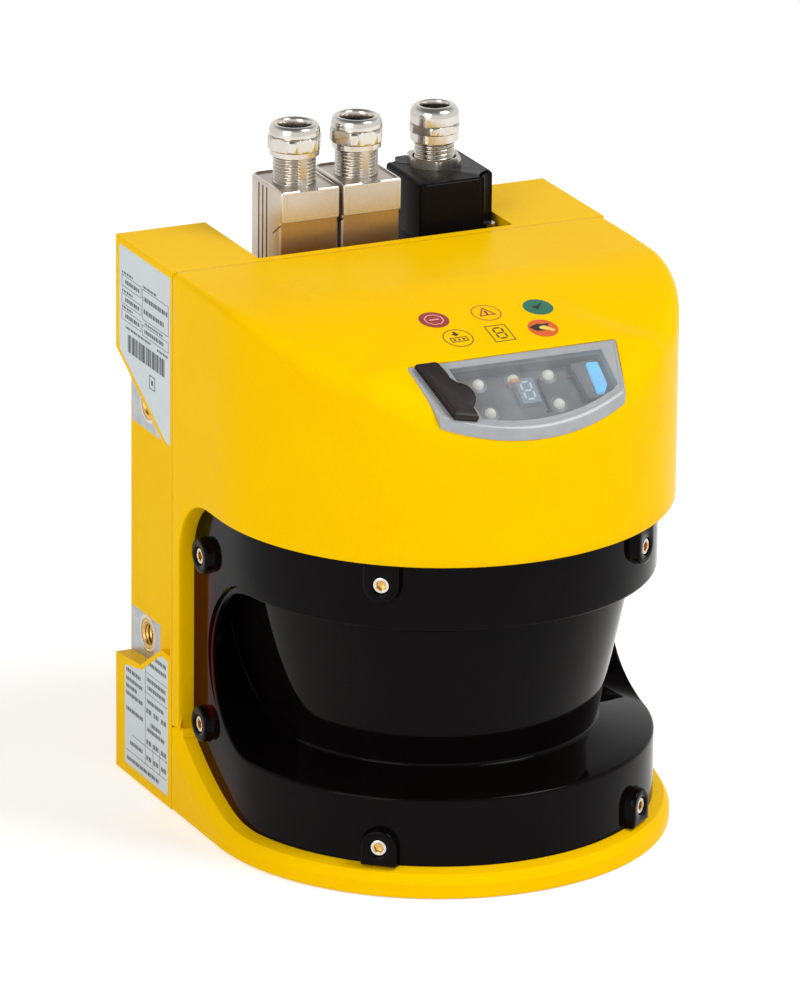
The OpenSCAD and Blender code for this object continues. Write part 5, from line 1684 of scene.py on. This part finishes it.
def build_labels():
    film, ink = label_film(), label_ink()
    for name, outline, radii in (("type_label_film", TYPE_OUTLINE, [0.6, 1.2, 1.5, 3, 0.8, 0.4]),
                                 ("data_label_film", DATA_OUTLINE, [1.0, 2.5, 5, 1.2, 1.2, 0.5])):
        add(name, side_plate(rounded_outline(outline, radii, 6), FILM_X, HALF_W - 0.28, name), film,
            like="label_film", stands_for=(name[:10],))
    print_shape = Shape()
    for z0, z1 in ((168.8, 172.7), (162.9, 166.4), (157.4, 160.9)):
        ruled_box(print_shape, 59.4, 75.2, z0, z1)
        dashes(print_shape, 66.5, 74.9, z1 + 0.55, 0.75, (0.6, 0.9, 0.5, 1.1, 0.7))
        dashes(print_shape, 61.0, 72.5, (z0 + z1) / 2 - 0.65, 1.3, (0.5, 0.8, 0.45, 0.6, 0.75, 0.5))
    ruled_box(print_shape, 37.6, 58.6, 162.1, 172.4)
    ruled_box(print_shape, 37.6, 58.6, 156.6, 160.2)
    dashes(print_shape, 47.0, 58.2, 172.9, 0.8, (0.5, 0.9, 0.6, 1.0))
    dashes(print_shape, 38.4, 57.4, 168.6, 1.5, (0.45, 0.85, 0.6, 0.5, 0.9, 0.7))
    dashes(print_shape, 41.4, 57.4, 164.3, 1.5, (0.6, 0.45, 0.9, 0.5, 0.8))
    dashes(print_shape, 42.0, 56.5, 160.7, 0.7, (0.5, 0.7, 0.9, 0.6))
    dashes(print_shape, 41.5, 56.8, 157.7, 1.3, (0.5, 0.8, 0.6, 0.45, 0.7))
    dashes(print_shape, 52.0, 72.0, 155.0, 0.8, (0.45, 0.8, 0.6, 0.5, 1.0))
    dashes(print_shape, 38.0, 46.5, 154.6, 0.8, (0.9, 0.6, 0.8, 0.5))
    place, index = 70.2, 0
    while place > 41.0:
        wide = (0.35, 0.9, 0.35, 0.6, 1.4, 0.35, 0.5)[index % 7]
        side_block(print_shape, place - wide, place, 147.4, 153.4, PRINT_X, PRINT_FOOT)
        place -= wide + (0.4, 0.3, 0.8, 0.35, 0.5)[index % 5]
        index += 1
    ruled_box(print_shape, 48.3, 52.9, 140.2, 144.8, 0.3)
    side_block(print_shape, 49.9, 51.3, 141.7, 143.3, PRINT_X, PRINT_FOOT)
    add("type_label_print", print_shape.mesh("type_label_print"), ink, like="label_film")
    table = Shape()
    rules = [(38.0, 66.8, 14.8, 14.96), (38.6, 72.2, 8.5, 8.66), (55.9, 56.06, 8.6, 47.0),
             (49.6, 49.76, 8.6, 17.5),
             (44.1, 44.26, 8.6, 17.5), (38.0, 56.0, 33.8, 33.96), (38.0, 55.9, 41.0, 41.16)]
    for y0, y1, z0, z1 in rules:
        side_block(table, y0, y1, z0, z1, PRINT_X, PRINT_FOOT)
    for z, y0, y1 in ((36.2, 60.0, 71.5), (33.2, 58.5, 71.8), (30.6, 63.0, 71.8), (28.0, 58.2, 71.8),
                      (22.6, 58.0, 71.5),
                      (11.2, 58.2, 68.5), (5.2, 45.0, 71.0)):
        dashes(table, y0, y1, z, 1.35, (0.5, 0.8, 0.45, 0.65, 0.9, 0.5))
    for z, y0, y1 in ((47.0, 39.0, 48.0), (44.0, 39.0, 54.5), (38.2, 39.5, 54.8), (35.4, 39.5, 54.0),
                      (30.6, 41.0, 54.5),
                      (23.0, 43.5, 51.5), (20.6, 40.5, 54.5)):
        dashes(table, y0, y1, z, 1.35, (0.45, 0.8, 0.6, 0.5, 0.7))
    for z in (27.0, 16.0, 10.4):
        for y0 in (39.0, 45.2, 51.0):
            dashes(table, y0, y0 + 4.0, z, 1.6, (0.6, 0.5, 0.8))
    add("data_label_print", table.mesh("data_label_print"), ink, like="label_film")


# ---------- rear casting ----------

# the four mounting threads on the sides: their distance back, their heights and the wall they sit in
INSERT_Y, INSERT_ZS, SIDE_WALL_X = 66, (50, 130), 72.0


def build_rear_casting():
    soften("rear_housing", sizes().shell * 0.5, 4)
    dress("rear_housing", yellow_paint())
    pad = plain_metal()
    for number, (z0, z1, y0, y1) in enumerate(((120.8, 149.0, 52.0, 79.3), (39.0, 56.3, 55.6, 79.3))):
        for side in (-1, 1):
            shape = Shape()
            a, b = side * (SIDE_WALL_X + 0.05), side * (SIDE_WALL_X - 0.1)
            outer = shape.ring([(a, y0, z0), (a, y1, z0), (a, y1, z1), (a, y0, z1)])
            inner = shape.ring([(b, y0, z0), (b, y1, z0), (b, y1, z1), (b, y0, z1)])
            shape.skin(outer, inner)
            shape.lid(outer)
            shape.lid(inner[::-1])
            middle_z = INSERT_ZS[1 - number]
            hole = turned([(5.25, -80), (5.25, 80)], 64, Matrix.Translation((0, INSERT_Y, middle_z))
                          @ Matrix.Rotation(math.pi / 2, 4, "Y"), "cut")
            obj = add("side_pad_%d%s" % (number, "LR"[side > 0]), shape.mesh("side_pad"), pad,
                      like="die_cast_metal")
            carve(obj, [hole])
            ring = turned([(5.3, -0.05), (5.3, 0.06), (5.5, 0.12), (6.3, 0.12), (6.5, 0.05), (6.5, -0.05)],
                          64,
                          Matrix.Translation((side * (SIDE_WALL_X + 0.05), INSERT_Y,
                                              middle_z)) @ Matrix.Rotation(side * math.pi / 2, 4, "Y"),
                          "machined_ring", ends=False)
            add("machined_ring_%d%s" % (number, "LR"[side > 0]), ring,
                polished("machined_ring", (0.66, 0.62, 0.50), (0.50, 0.46, 0.36), 0.16,
                         0.26), like="die_cast_metal")
    dress("housing_seal", rubber())
    dress("housing_screws", polished("steel", (0.50, 0.50, 0.51), (0.36, 0.36, 0.38), 0.2, 0.34))


# ---------- thread inserts ----------

def insert_mesh(place, name):
    """Ring with a helical thread in its bore and a closed floor."""
    shape = Shape()
    count = 72
    rows = (5.2, -8.9), (5.2, -0.15), (5.05, 0.0), (4.1, 0.0), (3.75, -0.35)
    rings = shape.skins([circle(r, count, z) for r, z in rows])
    bore, steps, length, pitch, depth = [], 61, 8.2, 1.25, 0.45
    for k in range(1, steps + 1):
        z = -0.35 - length * k / steps
        ring = []
        for i in range(count):
            turn = math.tau * i / count
            r = 3.4 + depth * (0.5 + 0.5 * math.cos(math.tau * (z / pitch - i / count)))
            ring.append(Vector((r * math.cos(turn), r * math.sin(turn), z)))
        bore.append(ring)
    made = shape.skins(bore)
    shape.skin(rings[-1], made[0])
    shape.lid(made[-1])
    shape.lid(rings[0][::-1])
    return shape.mesh(name, place, 45)


def build_thread_inserts():
    number = 0
    for z in INSERT_ZS:
        for side in (-1, 1):
            spots = (Matrix.Translation((side * SIDE_WALL_X, INSERT_Y,
                                         z)) @ Matrix.Rotation(side * math.pi / 2, 4, "Y"),
                     Matrix.Translation((side * 50, 80, z)) @ Matrix.Rotation(-math.pi / 2, 4, "X"))
            for place in spots:
                add("thread_insert_%d" % number, insert_mesh(place, "thread_insert"), brass(),
                    like="insert_brass",
                    stands_for=("thread_inserts",) if number == 0 else ())
                number += 1


# ---------- pieces behind the cover and inside the housing ----------

def build_inside():
    board = grained("circuit_board", (0.018, 0.13, 0.055), (0.012, 0.09, 0.04), 500.0, 200.0, (0.28, 0.4),
                    0.00001)
    cast = grained("cast_grey", (0.30, 0.31, 0.32), (0.22, 0.23, 0.24), 900.0, 60.0, (0.42, 0.55), 0.00003,
                   Metallic=1.0)
    motor = grained("motor_grey", (0.09, 0.09, 0.10), (0.06, 0.06, 0.07), 900.0, 60.0, (0.34, 0.46), 0.00002)
    copper = grained("copper_winding", (0.52, 0.20, 0.07), (0.30, 0.10, 0.04), 1600.0, 300.0, (0.3, 0.45),
                     0.00008,
                     Metallic=1.0)
    steel = polished("steel", (0.50, 0.50, 0.51), (0.36, 0.36, 0.38), 0.2, 0.34)
    dark = grained("socket_plastic", (0.02, 0.02, 0.022), (0.014, 0.014, 0.016), 900.0, 60.0, (0.45, 0.6),
                   0.00002)
    chip = grained("chip_black", (0.022, 0.022, 0.024), (0.015, 0.015, 0.017), 900.0, 150.0, (0.38, 0.5),
                   0.00001)
    mirror = polished("mirror_face", (0.86, 0.88, 0.89), (0.80, 0.82, 0.84), 0.02, 0.06)
    glass = grained("lens_glass", (0.70, 0.78, 0.82), (0.62, 0.70, 0.75), 600.0, 40.0, (0.03, 0.06), 0.0,
                    Transmission_Weight=0.9, IOR=1.5)
    laser = polished("laser_brass", (0.62, 0.46, 0.18), (0.45, 0.32, 0.12), 0.2, 0.34)
    disc_metal = polished("encoder_metal", (0.52, 0.54, 0.55), (0.40, 0.42, 0.44), 0.12, 0.25)
    finishes = {
        "optics_cover_seal": rubber(), "optics_chassis": cast, "motor_case": motor, "motor_stator": copper,
        "motor_rotor": motor, "motor_shaft": steel, "shaft_bearings": steel, "encoder_disc": disc_metal,
        "encoder_sensor": dark, "mirror_head": dark, "mirror_glass": mirror, "optics_tube": dark,
        "receiver_lens": glass, "laser_collimator": motor, "laser_module": laser, "receiver_board": board,
        "dust_board_low": board, "dust_board_high": board, "main_board": board, "power_board": board,
        "main_board_parts": chip}
    for node, finish in finishes.items():
        dress(node, finish)


# ---------- stage ----------

def area_lamp(name, spot, target, size, power, spread=180.0):
    data = bpy.data.lights.new(name, "AREA")
    data.shape, data.size, data.size_y, data.energy = "RECTANGLE", size[0], size[1], power
    data.spread = math.radians(spread)
    obj = bpy.data.objects.new(name, data)
    bpy.context.scene.collection.objects.link(obj)
    spot, target = Vector(spot), Vector(target)
    obj.matrix_world = Matrix.Translation(spot) @ (target - spot).to_track_quat("-Z",
                                                                                "Y").to_matrix().to_4x4()


def build_camera():
    az, el, roll = math.radians(-25.359), math.radians(19.165), math.radians(0.593)
    target = Vector((-0.011884, 0.0, 0.109433))
    back = Vector((math.sin(az) * math.cos(el), -math.cos(az) * math.cos(el), math.sin(el)))
    right = (-back).cross(Vector((0, 0, 1))).normalized()
    up = right.cross(-back)
    across = right * math.cos(roll) + up * math.sin(roll)
    upward = up * math.cos(roll) - right * math.sin(roll)
    data = bpy.data.cameras.new("camera")
    data.lens, data.sensor_width, data.clip_end = 324.3, 36, 50
    cam = bpy.data.objects.new("camera", data)
    bpy.context.scene.collection.objects.link(cam)
    place = Matrix((across, upward, back)).transposed().to_4x4()
    place.translation = target + back * 2.91884
    cam.matrix_world = place
    bpy.context.scene.camera = cam


def seen_rays(tree):
    """One for camera, glossy and transmission rays, which see the pale background."""
    path = tree.nodes.new("ShaderNodeLightPath")
    both = sums(tree, "MAXIMUM", path.outputs["Is Camera Ray"], path.outputs["Is Glossy Ray"])
    return sums(tree, "MAXIMUM", both, path.outputs["Is Transmission Ray"])


def build_world():
    world = bpy.context.scene.world or bpy.data.worlds.new("world")
    bpy.context.scene.world = world
    world.use_nodes = True
    tree = world.node_tree
    back = tree.nodes["Background"]
    back.inputs["Color"].default_value = (1, 1, 1, 1)
    split = tree.nodes.new("ShaderNodeSeparateXYZ")
    tree.links.new(tree.nodes.new("ShaderNodeTexCoord").outputs["Generated"], split.inputs[0])
    level = band(tree, split.outputs["Z"], 0.1, 0.9, 0.8, 0.3)
    seen = band(tree, split.outputs["Z"], 0.36, 0.85, 1.0, 0.2)
    tree.links.new(band(tree, seen_rays(tree), 0.0, 1.0, level, seen), back.inputs["Strength"])


def build_floor():
    shape = Shape()
    ring = shape.ring([(-4000, -4000, 0), (4000, -4000, 0), (4000, 4000, 0), (-4000, 4000, 0)])
    shape.lid(ring)
    mesh = shape.mesh("floor")
    obj = bpy.data.objects.new("floor", mesh)
    bpy.context.scene.collection.objects.link(obj)
    obj.location.z = FRONT_LOW.z * MM - 0.0002
    mat = bpy.data.materials.new("floor")
    mat.use_nodes = True
    set_values(shader_of(mat), {"Base Color": (0.86, 0.86, 0.86, 1), "Roughness": 0.9,
                                "Specular IOR Level": 0.1})
    mat.cycles.emission_sampling = "NONE"
    set_values(shader_of(mat), {"Emission Color": (1, 1, 1, 1)})
    mat.node_tree.links.new(sums(mat.node_tree, "MULTIPLY", seen_rays(mat.node_tree), 0.42),
                            shader_of(mat).inputs["Emission Strength"])
    mesh.materials.append(mat)


def build_stage():
    bpy.context.scene.view_settings.view_transform = "Standard"
    build_camera()
    build_world()
    build_floor()
    area_lamp("key", (0.95, -0.95, 1.75), (0, 0, 0.1), (0.9, 0.9), 26)
    area_lamp("fill", (-1.5, -0.8, 0.85), (0, 0, 0.1), (1.0, 1.4), 12)


# ---------- operators ----------

class SCANNER_OT_stage(bpy.types.Operator):
    """Set up the camera, the floor, the world and the lamps"""
    bl_idname = "scanner.stage"
    bl_label = "Stage"

    def execute(self, context):
        build_stage()
        return {"FINISHED"}


class SCANNER_OT_front_casting(bpy.types.Operator):
    """Build the front casting: rounded hood, opening, base rim and the display's seat"""
    bl_idname = "scanner.front_casting"
    bl_label = "Front Casting"

    def execute(self, context):
        build_front_casting()
        return {"FINISHED"}


class SCANNER_OT_optics_cover(bpy.types.Operator):
    """Build the dark optics cover with its window, recess and screw bosses"""
    bl_idname = "scanner.optics_cover"
    bl_label = "Optics Cover"

    def execute(self, context):
        build_optics_cover()
        return {"FINISHED"}


class SCANNER_OT_display(bpy.types.Operator):
    """Build the display: pane, tray, lamps, digit, insert and service socket"""
    bl_idname = "scanner.display"
    bl_label = "Display"

    def execute(self, context):
        build_display()
        return {"FINISHED"}


class SCANNER_OT_signs(bpy.types.Operator):
    """Lay the printed signs on the hood"""
    bl_idname = "scanner.signs"
    bl_label = "Hood Signs"

    def execute(self, context):
        build_signs()
        return {"FINISHED"}


class SCANNER_OT_cover_screws(bpy.types.Operator):
    """Build the cover's socket screws"""
    bl_idname = "scanner.cover_screws"
    bl_label = "Cover Screws"

    def execute(self, context):
        build_cover_screws()
        return {"FINISHED"}


class SCANNER_OT_rear_casting(bpy.types.Operator):
    """Finish the rear casting, its pads and screws"""
    bl_idname = "scanner.rear_casting"
    bl_label = "Rear Casting"

    def execute(self, context):
        build_rear_casting()
        return {"FINISHED"}


class SCANNER_OT_thread_inserts(bpy.types.Operator):
    """Build the threaded inserts of the mounting points"""
    bl_idname = "scanner.thread_inserts"
    bl_label = "Thread Inserts"

    def execute(self, context):
        build_thread_inserts()
        return {"FINISHED"}


class SCANNER_OT_labels(bpy.types.Operator):
    """Build the two side labels with their ruled print"""
    bl_idname = "scanner.labels"
    bl_label = "Labels"

    def execute(self, context):
        build_labels()
        return {"FINISHED"}


class SCANNER_OT_glands(bpy.types.Operator):
    """Build the glands, their nuts and rubber sleeves"""
    bl_idname = "scanner.glands"
    bl_label = "Cable Glands"

    def execute(self, context):
        build_glands()
        return {"FINISHED"}


class SCANNER_OT_bus_plugs(bpy.types.Operator):
    """Build the two metal plugs"""
    bl_idname = "scanner.bus_plugs"
    bl_label = "Fieldbus Plugs"

    def execute(self, context):
        build_bus_plugs()
        return {"FINISHED"}


class SCANNER_OT_system_plug(bpy.types.Operator):
    """Finish the black plug, its screws and the sockets"""
    bl_idname = "scanner.system_plug"
    bl_label = "System Plug"

    def execute(self, context):
        build_system_plug()
        return {"FINISHED"}


class SCANNER_OT_inside(bpy.types.Operator):
    """Finish the mirror, its drive and the boards"""
    bl_idname = "scanner.inside"
    bl_label = "Inside"

    def execute(self, context):
        build_inside()
        return {"FINISHED"}


PIECES = (SCANNER_OT_stage, SCANNER_OT_front_casting, SCANNER_OT_optics_cover, SCANNER_OT_display,
          SCANNER_OT_signs, SCANNER_OT_cover_screws, SCANNER_OT_rear_casting, SCANNER_OT_thread_inserts,
          SCANNER_OT_labels, SCANNER_OT_glands, SCANNER_OT_bus_plugs, SCANNER_OT_system_plug,
          SCANNER_OT_inside)


class SCANNER_PT_pieces(bpy.types.Panel):
    """Pieces and settings of the scanner"""
    bl_idname = "SCANNER_PT_pieces"
    bl_label = "Safety Laser Scanner"
    bl_space_type = "VIEW_3D"
    bl_region_type = "UI"
    bl_category = "Scanner"

    def draw(self, context):
        for piece in PIECES:
            self.layout.operator(piece.bl_idname)
        for settings in (context.scene.scanner_sizes, context.scene.scanner_colours):
            box = self.layout.box()
            for key in settings.bl_rna.properties.keys():
                if key not in ("rna_type", "name"):
                    box.prop(settings, key)


CLASSES = (ScannerSizes, ScannerColours) + PIECES + (SCANNER_PT_pieces,)


def register():
    for cls in CLASSES:
        bpy.utils.register_class(cls)
    bpy.types.Scene.scanner_sizes = bpy.props.PointerProperty(type=ScannerSizes)
    bpy.types.Scene.scanner_colours = bpy.props.PointerProperty(type=ScannerColours)


def unregister():
    del bpy.types.Scene.scanner_colours
    del bpy.types.Scene.scanner_sizes
    for cls in reversed(CLASSES):
        bpy.utils.unregister_class(cls)


def main():
    register()
    for piece in PIECES:
        area, action = piece.bl_idname.split(".")
        getattr(getattr(bpy.ops, area), action)()


if __name__ == "__main__":
    main()
